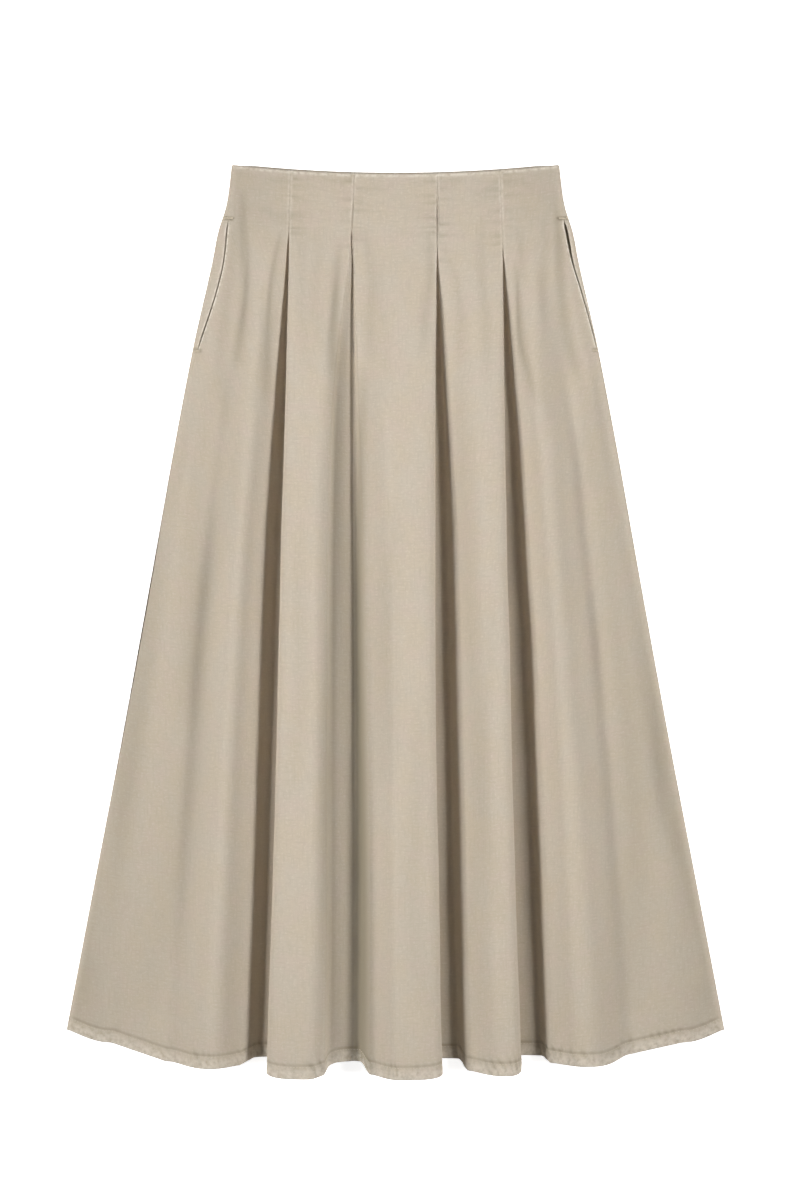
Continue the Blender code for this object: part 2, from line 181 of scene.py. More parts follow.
def smooth_curve(rows, column, down):
    """Value of a table's column at a distance down, on a smooth curve through its rows."""
    downs = np.array([row.down for row in rows], float)
    values = np.array([getattr(row, column) for row in rows], float)
    slopes = np.gradient(values, downs)
    down = min(max(down, downs[0]), downs[-1])
    i = min(int(np.searchsorted(downs, down, side="right")) - 1, len(downs) - 2)
    span = downs[i + 1] - downs[i]
    t = (down - downs[i]) / span
    start = values[i] * (1 + 2 * t) * (1 - t) ** 2 + slopes[i] * span * t * (1 - t) ** 2
    end = values[i + 1] * t * t * (3 - 2 * t) + slopes[i + 1] * span * t * t * (t - 1)
    return float(start + end)


def half_width(down):
    return smooth_curve(OUTLINE, "half_width", down)


def seam_distance(sign, down):
    return smooth_curve(SEAM_PATH, "left" if sign < 0 else "right", down)


def opening(distance, reach):
    """Grows from 0 at the end of the stitching towards 1 below it."""
    return 1 - math.exp(-((max(distance, 0) / reach) ** OPENING_POWER))


def rise(distance):
    return 1 - math.exp(-max(distance, 0) / FLUTE_RISE)


def smoothstep(t):
    t = min(max(t, 0), 1)
    return t * t * (3 - 2 * t)


def waist_dip(x):
    return FRONT_WAIST_DIP * max(0, 1 - (x / OUTLINE[0].half_width) ** 2)


def down_at(x, share, hem_down):
    return waist_dip(x) * (1 - share) + hem_down * share


class Point:
    """A point of a section: its place across, its height, how far down its hem is, and its Y."""

    def __init__(self, x, z, hem_down):
        self.x = x
        self.z = z
        self.hem_down = hem_down
        self.y = None


def stitched_line(valley, down):
    """The line of a pleat's stitching at distances down, carried on below its end."""
    return valley.waist_x + (valley.release_x - valley.waist_x) * down / valley.release


def valley_line(valley, down):
    """Where a valley runs: straight along its stitching, then bowed from its release to the hem."""
    if down < valley.release:
        return stitched_line(valley, down)
    t = (down - valley.release) / (valley.hem_down - valley.release)
    return mix(valley.release_x, valley.hem_x, t) + valley.bow * math.sin(math.pi * t)


class OpenValley:
    """A valley's sizes at one share of the way from waist to hem."""

    def __init__(self, valley, share, inset):
        self.row = valley
        self.inset = inset
        self.down = down_at(valley.waist_x, share, valley.hem_down)
        below = self.down - valley.release
        self.open = opening(below, valley.reach)
        width = STITCH_GROOVE_WIDTH + valley.width * self.open
        guide_x = valley_line(valley, self.down) + valley.guide * STITCH_GROOVE_WIDTH / 2
        self.left = guide_x - (width if valley.guide > 0 else 0)
        self.right = guide_x + (width if valley.guide < 0 else 0)
        self.shelf = valley.shelf * opening(below, SHELF_REACH)
        fill = STITCH_GROOVE_FILL * (1 - self.open)
        self.floor = VALLEY_FLOOR + fill + valley.floor_rise * rise(below) - inset
        self.corner = min(FLOOR_CORNER, 0.2 * width)

    def lip(self, side):
        return self.row.left_lip if side < 0 else self.row.right_lip

    def lip_x(self, side):
        """Lip of the flute on the left (-1) or the right (+1) of the valley."""
        if side < 0:
            return self.left - self.shelf - self.inset
        return self.right + self.inset

    def lip_z(self, side, crest_z):
        return mix(self.floor, crest_z, self.lip(side).share)


def crest_height(flute, down, start):
    return mix(SHEET_TOP, flute.height, rise(down - start))


def cap(valley, side, crest_x, crest_z, crest_hem):
    """From a valley's lip up to the crest of the flute on that side, the lip first."""
    lip_x = valley.lip_x(side)
    lip_z = valley.lip_z(side, crest_z)
    roll = valley.lip(side).roll
    floor_hem = valley.row.hem_down
    lip_hem = mix(floor_hem, crest_hem, LIP_HEM)
    points = []
    for k in range(CAP_STEPS):
        angle = math.pi / 2 * k / CAP_STEPS
        along = k / CAP_STEPS
        across = along if roll else 1 - math.cos(angle) ** CRISP_POWER
        up = math.sin(angle) ** (roll or CRISP_POWER)
        hem = mix(lip_hem, crest_hem, math.sin(angle))
        points.append(Point(mix(lip_x, crest_x, across), mix(lip_z, crest_z, up), hem))
    return points


def wall_to_floor(valley, side, crest_z, crest_hem):
    """Below a lip down to the valley's floor: a plain wall, or one that is stepped by a low fold."""
    lip_x = valley.lip_x(side)
    depth = valley.lip_z(side, crest_z) - valley.floor
    floor_hem = valley.row.hem_down
    lip_hem = mix(floor_hem, crest_hem, LIP_HEM)
    if side < 0 and valley.row.shelf > 0:
        grown = valley.shelf / valley.row.shelf
        places = [
            (lip_x + across * valley.shelf, mix(plain, height, grown))
            for (across, height), plain in zip(LOW_FOLD, (2 / 3, 1 / 3))
        ]
        corner_x = lip_x + valley.shelf + valley.corner
    else:
        run = -side * valley.lip(side).run * valley.open
        wall = SOFT_WALL if valley.lip(side) is LOW else PLAIN_WALL
        places = [(lip_x + across * run, height) for across, height in wall]
        corner_x = lip_x + run - side * valley.corner
    points = []
    for (x, height), along in zip(places, WALL_HEM):
        points.append(Point(x, valley.floor + depth * height, mix(lip_hem, floor_hem, along)))
    points.append(Point(corner_x, valley.floor, floor_hem))
    return points


def trough_inward(side, share):
    return mix(side.trough_waist, side.trough_hem, share**TROUGH_POWER)


def side_surface(side, distance, share, inset):
    """A point of the outer surface near one side, by its distance round from the outermost point."""
    edge_down = HEM_CORNER_DOWN * share
    width = half_width(edge_down)
    if distance <= QUARTER_ROLL:
        angle = distance / SIDE_ROLL_RADIUS
        radius = SIDE_ROLL_RADIUS - inset
        inward = SIDE_ROLL_RADIUS - radius * math.cos(angle)
        height = SIDE_ROLL_RADIUS + radius * math.sin(angle)
        return Point(side.sign * (width - inward), height, HEM_CORNER_DOWN)
    inward = SIDE_ROLL_RADIUS + distance - QUARTER_ROLL
    flank = FLANK_SHARE * trough_inward(side, share)
    flank_z = mix(SHEET_TOP, side.flank_height, rise(edge_down - SIDE_RISE_START))
    t = (inward - SIDE_ROLL_RADIUS) / (flank - SIDE_ROLL_RADIUS)
    height = mix(SHEET_TOP, flank_z, smoothstep(t))
    hem = mix(HEM_CORNER_DOWN, FLANK_HEM_DOWN, math.sin(math.pi / 2 * min(t, 1)))
    return Point(side.sign * (width - inward), height - inset, hem)


def seam_opening(share, sign):
    """The gap at the side seam, wider along the pocket's slit; the right slit yawns near its top."""
    down = HEM_CORNER_DOWN * share
    top = smoothstep((down - SLIT_TOP) / SLIT_END)
    bottom = smoothstep((SLIT_BOTTOM - down) / SLIT_END)
    yawn = RIGHT_SLIT_YAWN * math.exp(-(((down - YAWN_DOWN) / YAWN_RUN) ** 2)) if sign > 0 else 0
    return mix(SEAM_GAP, SLIT_GAP + yawn, min(top, bottom))


def outer_part(side, valley, flute, share, inset):
    """The front from the crest of an outer flute to the side seam, the crest first."""
    width = half_width(HEM_CORNER_DOWN * share)
    trough_in = trough_inward(side, share)
    trough_x = side.sign * (width - trough_in)
    lip_x = valley.lip_x(side.sign)
    crest_x = mix(trough_x, lip_x, flute.crest)
    crest_z = crest_height(flute, valley.down, valley.row.release) - inset
    trough_z = mix(SHEET_TOP, side.trough_height, rise(valley.down - SIDE_RISE_START)) - inset
    flank_in = FLANK_SHARE * trough_in
    flank = side_surface(side, QUARTER_ROLL + flank_in - SIDE_ROLL_RADIUS, share, inset)
    points = []
    delay = RIGHT_SLOPE_DELAY if side.sign > 0 else 1
    for k in range(TROUGH_STEPS):
        along = k / TROUGH_STEPS
        t = smoothstep(along**delay)
        hem = mix(flute.hem_down, side.trough_hem_down, t**2)
        points.append(Point(mix(crest_x, trough_x, along), mix(crest_z, trough_z, t), hem))
    for k in range(FLANK_STEPS):
        along = k / FLANK_STEPS
        z = mix(trough_z, flank.z, smoothstep(along))
        hem = mix(side.trough_hem_down, flank.hem_down, along)
        points.append(Point(mix(trough_x, flank.x, along), z, hem))
    seam = seam_distance(side.sign, HEM_CORNER_DOWN * share) + seam_opening(share, side.sign) / 2
    reach = QUARTER_ROLL + flank_in - SIDE_ROLL_RADIUS - seam
    for k in range(ROLL_STEPS + 1):
        distance = seam + reach * (1 - k / ROLL_STEPS) ** 2
        points.append(side_surface(side, distance, share, inset))
    return points, crest_x, crest_z


def front_section(share, inset):
    """Points across the front, left to right, at one share of the way from waist to hem."""
    valleys = [OpenValley(v, share, inset) for v in VALLEYS]
    left_part, left_crest_x, left_crest_z = outer_part(SIDES[0], valleys[0], FLUTES[0], share, inset)
    right_part, right_crest_x, right_crest_z = outer_part(
        SIDES[1], valleys[-1], FLUTES[-1], share, inset
    )
    crests = [(left_crest_x, left_crest_z)]
    for i in range(1, len(FLUTES) - 1):
        before, after = valleys[i - 1], valleys[i]
        x = mix(before.lip_x(1), after.lip_x(-1), FLUTES[i].crest)
        down = (before.down + after.down) / 2
        start = (before.row.release + after.row.release) / 2
        crests.append((x, crest_height(FLUTES[i], down, start) - inset))
    crests.append((right_crest_x, right_crest_z))
    points = left_part[::-1]
    for i, valley in enumerate(valleys):
        (x1, z1), (x2, z2) = crests[i], crests[i + 1]
        hem1, hem2 = FLUTES[i].hem_down, FLUTES[i + 1].hem_down
        points += cap(valley, -1, x1, z1, hem1)[::-1]
        points += wall_to_floor(valley, -1, z1, hem1)
        left_corner = points[-1]
        right_wall = wall_to_floor(valley, 1, z2, hem2)[::-1]
        middle_x = (left_corner.x + right_wall[0].x) / 2
        points.append(Point(middle_x, valley.floor, valley.row.hem_down))
        points += right_wall
        points += cap(valley, 1, x2, z2, hem2)
        if i < len(valleys) - 1:
            points.append(Point(x2, z2, hem2))
    points += right_part
    for point in points:
        point.y = WAIST_Y - down_at(point.x, share, point.hem_down)
    return points


def back_section(side, share, inset):
    """One half of the back, from its seam with the front round the side roll to the centre seam."""
    seam = seam_distance(side.sign, HEM_CORNER_DOWN * share) - seam_opening(share, side.sign) / 2
    distances = [seam * (1 - k / ROLL_STEPS) for k in range(ROLL_STEPS)]
    distances += [-QUARTER_ROLL * k / ROLL_STEPS for k in range(ROLL_STEPS + 1)]
    points = [side_surface(side, distance, share, inset) for distance in distances]
    for point in points:
        point.y = WAIST_Y - down_at(point.x, share, point.hem_down)
    edge = abs(points[-1].x)
    for k in range(1, BACK_FLAT_STEPS + 1):
        x = edge + (SEAM_GAP / 2 - edge) * k / BACK_FLAT_STEPS
        hem = HEM_CORNER_DOWN + BACK_HEM_SAG * (1 - (x / edge) ** 2)
        raised = BACK_WAIST_RISE * min(1, (edge - x) / BACK_RISE_RUN) * (1 - share)
        point = Point(side.sign * x, inset, hem)
        point.y = WAIST_Y - down_at(x, share, hem) + raised
        points.append(point)
    return points


def rows_of_shares():
    """Rows of the visible cloth, close together at the waist, at the ends of the slits and at the hem."""
    near_waist = np.concatenate([[0, 1.2], np.arange(3.5, 100, 3.5)])
    slit_ends = (SLIT_TOP - 1, SLIT_BOTTOM + 1)
    tacks = [place + step for place in slit_ends for step in (-3.2, -1.8, -0.9, 0.9, 2.4)]
    middle = np.arange(103, 826, 8.5)
    near_hem = np.concatenate([np.arange(829, HEM_CORNER_DOWN - 2, 2.4), [HEM_CORNER_DOWN - 0.8]])
    downs = np.sort(np.concatenate([near_waist, tacks, middle, near_hem, [HEM_CORNER_DOWN]]))
    return downs / HEM_CORNER_DOWN


SHARES = rows_of_shares()


def thickness(share):
    """The cloth is doubled at the turned waist edge and hem, with a soft step at the turning."""
    down = share * HEM_CORNER_DOWN
    waist = 1 - smoothstep((down - WAIST_TURN) / 3)
    hem = smoothstep((down - (HEM_CORNER_DOWN - HEM_TURN - 2)) / 2.5)
    return mix(CLOTH, TURNED_EDGE, max(waist, hem))


def on_curve(a, b, c, d, t):
    """The place at a share t of the way from b to c, on a smooth curve through four points."""
    along = b + (c - a) / 2 * t + (2 * a - 5 * b + 4 * c - d) / 2 * t * t
    return along + (3 * b - a - 3 * c + d) / 2 * t**3


def refine(grid, times):
    """Adds points along each row, on a smooth curve through those that are there."""
    padded = np.concatenate([grid[:, :1], grid, grid[:, -1:]], axis=1)
    near = [padded[:, k : k + grid.shape[1] - 1] for k in range(4)]
    steps = [on_curve(*near, k / times) for k in range(times)]
    fine = np.stack(steps, axis=2).reshape(grid.shape[0], -1, 3)
    return np.concatenate([fine, grid[:, -1:]], axis=1)


def cloth_grids(section):
    """Outer and inner grids of points, in millimetres, for a section function of share and inset."""
    outer = []
    inner = []
    for share in SHARES:
        outer.append([(p.x, p.y, p.z) for p in section(share, 0)])
        inner.append([(p.x, p.y, p.z) for p in section(share, thickness(share))])
    return refine(np.array(outer), REFINE), refine(np.array(inner), REFINE)


def normals_of(grid):
    """Unit normals of a grid whose rows run from waist to hem and whose columns run left to right."""
    across = np.gradient(grid, axis=1)
    along = np.gradient(grid, axis=0)
    made = np.cross(along, across)
    return made / np.maximum(np.linalg.norm(made, axis=2, keepdims=True), 1e-9)


def along_rows(grid):
    """How far each point is from its row's first one, along the cloth."""
    steps = np.linalg.norm(np.diff(grid, axis=1), axis=2)
    return np.concatenate([np.zeros((len(grid), 1)), np.cumsum(steps, axis=1)], axis=1)


def cloth_places(grid):
    """Where each point is on the cloth itself: across from the middle column, and down its column."""
    across = along_rows(grid)
    across = across - across[:, across.shape[1] // 2][:, None]
    return across, along_rows(grid.transpose(1, 0, 2)).T


def edge_distance(grid):
    """How far each point is from its row's nearer end, along the cloth."""
    from_left = along_rows(grid)
    return np.minimum(from_left, from_left[:, -1:] - from_left)


def soft_noise(x, y, seed):
    """Smooth noise between -1 and 1 on a lattice of one unit."""
    table = np.random.default_rng(seed).uniform(-1, 1, (64, 64))
    xi = np.floor(x).astype(int)
    yi = np.floor(y).astype(int)
    tx = x - xi
    ty = y - yi
    tx = tx * tx * (3 - 2 * tx)
    ty = ty * ty * (3 - 2 * ty)
    low = table[yi % 64, xi % 64] * (1 - tx) + table[yi % 64, (xi + 1) % 64] * tx
    high = table[(yi + 1) % 64, xi % 64] * (1 - tx) + table[(yi + 1) % 64, (xi + 1) % 64] * tx
    return low * (1 - ty) + high * ty


# Soft troughs (negative) and ridges pressed into the front: from one place to another, in
# millimetres across and down, bowed sideways in the middle, with a half-width and a depth
Crease = namedtuple("Crease", "x1 down1 x2 down2 bow half_width depth")
FRONT_CREASES = [Crease(*row) for row in (
    # Beside the pockets and the outer pleats
    (-150, 22, -157, 205, 2, 5.0, -2.3),
    (-160, 60, -172, 260, -3, 7.0, -1.2),
    (-139, 40, -146, 190, 2, 5.0, 0.8),
    (-114, 62, -129, 235, -2, 4.5, -2.0),
    (-131, 110, -141, 250, 2, 5.0, -0.9),
    (161, 20, 178, 215, -3, 5.0, -2.3),
    (148, 50, 153, 270, -2, 6.0, -1.2),
    (117, 92, 135, 235, -2, 4.0, -2.2),
    (138, 90, 146, 220, 2, 5.0, 0.7),
    (172, 170, 202, 330, 4, 7.0, -0.8),
    # Beside the inner pleats
    (-97, 40, -90, 210, 2, 5.0, -0.8),
    (-78, 60, -74, 190, -2, 6.0, -0.9),
    (-54, 74, -62, 210, -2, 4.0, -1.6),
    (-29, 62, -26, 200, 2, 6.0, -1.3),
    (-12, 90, -10, 240, -2, 7.0, -0.6),
    (34, 70, 29, 190, 2, 5.0, -1.5),
    (52, 80, 66, 200, 3, 5.0, -1.0),
    (88, 50, 92, 215, -2, 5.0, -1.2),
    (122, 60, 127, 120, 1, 4.0, -1.1),
    # Short dents round the stitching near the waist
    (-92, 10, -58, 15, 2, 2.6, -0.9),
    (-55, 20, -43, 12, -1, 2.2, -0.9),
    (-128, 15, -108, 10, -1, 2.4, -0.7),
    (44, 22, 70, 14, 2, 2.8, -0.8),
    (74, 28, 102, 20, -2, 3.0, -0.7),
    (108, 14, 140, 22, 2, 2.6, -0.7),
    (-36, 28, -8, 22, 2, 3.4, -0.6),
    (8, 38, 40, 50, -3, 4.0, -0.5),
    (-150, 42, -112, 52, 2, 3.5, -0.6),
    # Long soft folds down the side panels
    (-182, 200, -240, 850, 8, 18.0, -1.2),
    (-213, 240, -316, 850, 0, 14.0, -1.5),
    (-160, 260, -214, 560, 5, 12.0, -0.7),
    (-270, 520, -300, 800, -5, 9.0, 1.2),
    (201, 210, 236, 850, 9, 14.0, -1.5),
    (224, 290, 316, 850, 0, 14.0, -1.6),
    (160, 300, 196, 640, -6, 8.0, -0.5),
    (255, 480, 276, 700, 5, 8.0, -1.3),
    (268, 560, 300, 820, -5, 9.0, 1.2),
    # Slight ones on the flutes
    (-8, 330, -14, 620, 5, 12.0, -0.9),
    (22, 520, 26, 840, -4, 10.0, -0.8),
    (-94, 360, -104, 640, 4, 8.0, -0.8),
    (92, 420, 98, 760, -4, 8.0, -0.8),
)]

# Shallow ones pressed up into the flat back, in the lower part where nothing lies on it
BACK_CREASES = [Crease(*row) for row in (
    (-60, 330, -84, 860, 6, 9.0, -0.8),
    (-130, 360, -188, 850, -7, 10.0, -0.9),
    (-205, 400, -270, 800, 5, 9.0, -0.7),
    (-30, 520, -36, 840, -4, 7.0, -0.6),
    (-152, 610, -118, 700, 3, 5.0, -0.6),
    (-232, 560, -214, 660, -2, 6.0, -0.5),
    (24, 600, 30, 860, 3, 7.0, -0.5),
    (48, 340, 70, 850, -5, 9.0, -0.9),
    (92, 560, 112, 760, 3, 6.0, -0.6),
    (118, 400, 160, 840, 6, 10.0, -0.8),
    (196, 430, 262, 820, -6, 9.0, -0.8),
    (212, 640, 180, 725, -3, 5.0, -0.6),
)]


def creases(grid, rows):
    """Displacement of a grid from its table of creases, each fading out towards its ends."""
    x = grid[:, :, 0]
    down = WAIST_Y - grid[:, :, 1]
    total = np.zeros(x.shape)
    for row in rows:
        run = np.array([row.x2 - row.x1, row.down2 - row.down1], float)
        length = np.linalg.norm(run)
        run /= length
        along = ((x - row.x1) * run[0] + (down - row.down1) * run[1]) / length
        off = (x - row.x1) * run[1] - (down - row.down1) * run[0]
        inside = np.clip(along, 0, 1)
        off = off - row.bow * 4 * inside * (1 - inside)
        off = off + row.half_width * 0.35 * np.sin(along * 7 + row.x1)
        width = row.half_width * (0.75 + 0.5 * inside)
        total += row.depth * np.exp(-((off / width) ** 2)) * np.sqrt(4 * inside * (1 - inside))
    return total


# Folds beside the valleys with painted shade: from one place to another, as creases are, the depth being
# how much shade
SHADED_FOLDS = [Crease(*row) for row in (
    (-60, 90, -65, 880, -1, 7.0, 0.55),
    (-31, 200, -32, 1100, -4, 7.5, 0.95),
    (-50, 160, -48, 1000, 0, 5.0, 0.40),
    (64, 180, 84, 880, -2, 9.0, 0.16),
    (140, 200, 168, 880, -2, 10.0, 0.05),
    (-140, 220, -172, 880, 2, 10.0, 0.12),
)]


# Painted shade low in the valleys, just below their stitching
VALLEY_SHADE = 0.07


def painted_shade_map(grid, pressed):
    """Painted shade: darker in creases and folds, low down, at the sides, at the waist's ends and low in
    the valleys.
    """
    x = np.abs(grid[:, :, 0])
    down = WAIST_Y - grid[:, :, 1]
    edge = np.array([half_width(share * HEM_CORNER_DOWN) for share in SHARES])[:, None]
    low = smooth_mask(down, 480, 860)
    outer = smooth_mask(x / edge, 0.62, 1.0)
    tone = 0.12 * low + outer * (0.04 + 0.17 * smooth_mask(down, 250, 800))
    tone += 0.16 * smooth_mask(x, 50, 165) * (1 - smooth_mask(down, 40, 110))
    tone += VALLEY_SHADE * (1 - smooth_mask(grid[:, :, 2], 7, 16)) * smooth_mask(down, 110, 200) * (1 - outer)
    return tone + creases(grid, SHADED_FOLDS) + 0.34 * np.clip(-pressed / 2.2, 0, 1)


def smooth_mask(value, start, end):
    t = np.clip((value - start) / (end - start), 0, 1)
    return t * t * (3 - 2 * t)


PUCKER_PITCH = 8.5
PUCKER_DEPTH = 0.95
PUCKER_REACH = 10.0


def seam_puckers(grid, seed):
    """Short irregular ripples that run out sideways from the stitched part of each pleat."""
    x = grid[:, :, 0]
    down = WAIST_Y - grid[:, :, 1]
    total = np.zeros(x.shape)
    for i, valley in enumerate(VALLEYS):
        line = stitched_line(valley, down)
        off = np.abs(x - line)
        side = np.sign(x - line)
        phase = down / PUCKER_PITCH + soft_noise(down / 15, side * 3 + i, seed + i)
        ripple = np.sin(2 * math.pi * phase + side) * (0.6 + 0.4 * soft_noise(down / 21, side + i, seed))
        near = np.exp(-off / PUCKER_REACH) * smooth_mask(off, 0.5, 3)
        total += PUCKER_DEPTH * ripple * near * (1 - smooth_mask(down, valley.release, valley.release + 25))
    return total


ROPING_PITCH = 7.5
ROPING_DEPTH = 0.75


def hem_roping(across, to_edge, seed):
    """Slanting ripples of the turned hem, between the stitches and the edge."""
    phase = across / ROPING_PITCH + to_edge / 16 + 1.3 * soft_noise(across / 19, to_edge / 40, seed)
    strength = 0.5 + 0.5 * soft_noise(across / 26, to_edge * 0, seed + 1)
    body = smooth_mask(to_edge, -3, 2) * (1 - smooth_mask(to_edge, HEM_TURN - 1, HEM_TURN + 9))
    return ROPING_DEPTH * np.sin(2 * math.pi * phase) * strength * body


# A soft band across the cloth: its strength, its place and its half-width in millimetres
Band = namedtuple("Band", "strength place width")
HEM_STITCH_IN = 10.6
HEM_GROOVE = Band(0.35, HEM_STITCH_IN, 1.1)
# Painted shade along the line where the turned hem ends
HEM_LINE_SHADE = Band(0.36, 12.2, 1.0)
# Pale bands at the waist edge and the slits' edges: rubbed wear and painted highlight
WAIST_RUB_AND_HIGHLIGHT = Band(1.1, 1.6, 1.3)
FRONT_SLIT_RUB_AND_HIGHLIGHT = Band(1.7, 0, 1.9)
BACK_SLIT_RUB_AND_HIGHLIGHT = Band(1.1, 0, 1.5)


def band(distance, row):
    return row.strength * np.exp(-(((distance - row.place) / row.width) ** 2))


def cloth_waves(across, down, seed):
    """The uneven surface of washed cloth: long soft waves and small crinkles."""
    waves = 0.55 * soft_noise(across / 38, down / 120, seed)
    waves += 0.28 * soft_noise(across / 17, down / 46, seed + 1)
    return waves + 0.10 * soft_noise(across / 6, down / 9, seed + 2)


def ring(rows, columns):
    """Row and column of each point round the edge of a grid."""
    top = [(0, c) for c in range(columns - 1)]
    right = [(r, columns - 1) for r in range(rows - 1)]
    bottom = [(rows - 1, c) for c in range(columns - 1, 0, -1)]
    left = [(r, 0) for r in range(rows - 1, 0, -1)]
    return top + right + bottom + left


EDGE_BULGE = 0.45


def shell(name, outer, inner, turn, places, tones, surface):
    """A closed thin shell of cloth between two grids, rounded at its edges, with its own UV map.

    Each tone is a pair of grids, for the outer face and the inner one.
    """
    rows, columns = outer.shape[:2]
    count = rows * columns
    index = np.arange(count).reshape(rows, columns)
    quads = np.stack([index[:-1, :-1], index[1:, :-1], index[1:, 1:], index[:-1, 1:]], axis=2)
    quads = quads.reshape(-1, 4)
    loop = ring(rows, columns)
    edge = np.array([outer[r, c] for r, c in loop])
    under = np.array([inner[r, c] for r, c in loop])
    middle = (edge + under) / 2
    inside = np.array([outer[min(max(r, 1), rows - 2), min(max(c, 1), columns - 2)] for r, c in loop])
    away = edge - inside
    away /= np.maximum(np.linalg.norm(away, axis=1, keepdims=True), 1e-9)
    depth = np.linalg.norm(edge - under, axis=1, keepdims=True)
    middle += away * depth * EDGE_BULGE
    n = len(loop)
    at = np.array([index[r, c] for r, c in loop])
    after = np.roll(at, -1)
    mid = 2 * count + np.arange(n)
    mid_after = np.roll(mid, -1)
    faces = np.concatenate(
        [
            quads,
            quads[:, ::-1] + count,
            np.stack([at, after, mid_after, mid], axis=1),
            np.stack([mid, mid_after, after + count, at + count], axis=1),
        ]
    )
    if turn < 0:
        faces = faces[:, ::-1]
    points = np.concatenate([outer.reshape(-1, 3), inner.reshape(-1, 3), middle]) * MM
    mesh = bpy.data.meshes.new(name)
    mesh.from_pydata(points.tolist(), [], faces.tolist())
    across, down = places
    cloth_u = np.concatenate([across.ravel(), across.ravel(), [across[r, c] for r, c in loop]]) * MM
    cloth_v = np.concatenate([down.ravel(), down.ravel(), [down[r, c] for r, c in loop]]) * -MM
    corners = np.empty(len(mesh.loops), dtype=np.int32)
    mesh.loops.foreach_get("vertex_index", corners)
    uv = mesh.uv_layers.new(name="cloth")
    uv.data.foreach_set("uv", np.stack([cloth_u[corners], cloth_v[corners]], axis=1).ravel())
    for label, tone in tones.items():
        layer = mesh.attributes.new(label, "FLOAT", "POINT")
        outside, inside = tone
        values = np.concatenate([outside.ravel(), inside.ravel(), [outside[r, c] for r, c in loop]])
        layer.data.foreach_set("value", values.astype(np.float32))
    mesh.materials.append(surface)
    mesh.shade_smooth()
    return link(name, mesh)


def link(name, data):
    """An object of this data, in the scene."""
    made = bpy.data.objects.new(name, data)
    bpy.context.collection.objects.link(made)
    return made


def stand_for(piece, node):
    """Puts a piece in place of a node of the frame, and hides that node."""
    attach(piece, BODY)
    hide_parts(node)
    return piece


def linear(hexa):
    """An sRGB hex colour as a linear RGBA colour."""
    parts = [int(hexa[k : k + 2], 16) / 255 for k in (0, 2, 4)]
    return (*[c / 12.92 if c <= 0.04045 else ((c + 0.055) / 1.055) ** 2.4 for c in parts], 1.0)


def fill(tree, node, inputs):
    """Sets a node's inputs to values or to other nodes' output sockets."""
    for socket, value in inputs.items():
        if isinstance(value, bpy.types.NodeSocket):
            tree.links.new(value, node.inputs[socket])
        else:
            node.inputs[socket].default_value = value


def add(tree, kind, settings=None, inputs=None):
    """Adds a node with its settings and inputs."""
    made = tree.nodes.new(kind)
    for name, value in (settings or {}).items():
        setattr(made, name, value)
    fill(tree, made, inputs or {})
    return made


def new_surface(name):
    made = bpy.data.materials.new(name)
    made.use_nodes = True
    return made, made.node_tree, made.node_tree.nodes["Principled BSDF"]


def math_node(tree, operation, a, b):
    return add(tree, "ShaderNodeMath", {"operation": operation}, {0: a, 1: b}).outputs[0]


def blend_colours(tree, share, first, second):
    settings = {"data_type": "RGBA", "clamp_factor": True}
    return add(tree, "ShaderNodeMix", settings, {0: share, 6: first, 7: second}).outputs[2]


def pattern(tree, places, size_across_mm, size_down_mm, detail=2.0, roughness=0.5, offset=0.0):
    """Noise from 0 to 1 on the cloth's own map, with the size of its blotches in millimetres."""
    scale = (1000 / size_across_mm, 1000 / size_down_mm, 1.0)
    moved = add(
        tree,
        "ShaderNodeMapping",
        {"vector_type": "POINT"},
        {"Vector": places, "Scale": scale, "Location": (offset, offset * 1.7, 0.0)},
    )
    inputs = {"Vector": moved.outputs[0], "Scale": 1.0, "Detail": detail, "Roughness": roughness}
    return add(tree, "ShaderNodeTexNoise", {"noise_dimensions": "2D"}, inputs).outputs["Fac"]


def spread(tree, value, low, high):
    """Stretches the middle of a noise over 0 to 1."""
    inputs = {"Value": value, "From Min": low, "From Max": high, "To Min": 0.0, "To Max": 1.0}
    return add(tree, "ShaderNodeMapRange", {"clamp": True}, inputs).outputs[0]


def noise(tree, places, scale, detail):
    inputs = {"Vector": places, "Scale": scale, "Detail": detail}
    return add(tree, "ShaderNodeTexNoise", None, inputs).outputs["Fac"]


def bands(tree, places, scale, distortion, detail, direction="X", detail_scale=1.0):
    settings = {"wave_type": "BANDS", "bands_direction": direction, "wave_profile": "SIN"}
    inputs = {"Vector": places, "Scale": scale, "Distortion": distortion, "Detail": detail}
    inputs["Detail Scale"] = detail_scale
    return add(tree, "ShaderNodeTexWave", settings, inputs).outputs["Fac"]


def bump(tree, height, strength, distance):
    inputs = {"Height": height, "Strength": strength, "Distance": distance}
    return add(tree, "ShaderNodeBump", None, inputs).outputs[0]


def between(tree, value, start, end):
    """From start to end as a value goes from 0 to 1."""
    inputs = {"Value": value, "To Min": start, "To Max": end}
    return add(tree, "ShaderNodeMapRange", None, inputs).outputs[0]


# Slanting ribs about 10 mm apart: soft broad ones, since a twill's own 0.5 mm ribs are too fine to show
RIB_PITCH_MM = 2 * math.pi * 1.6
RIB_SLANT = 62
# A wave texture of scale 1 has its bands this far apart
WAVE_SPACING = 0.314


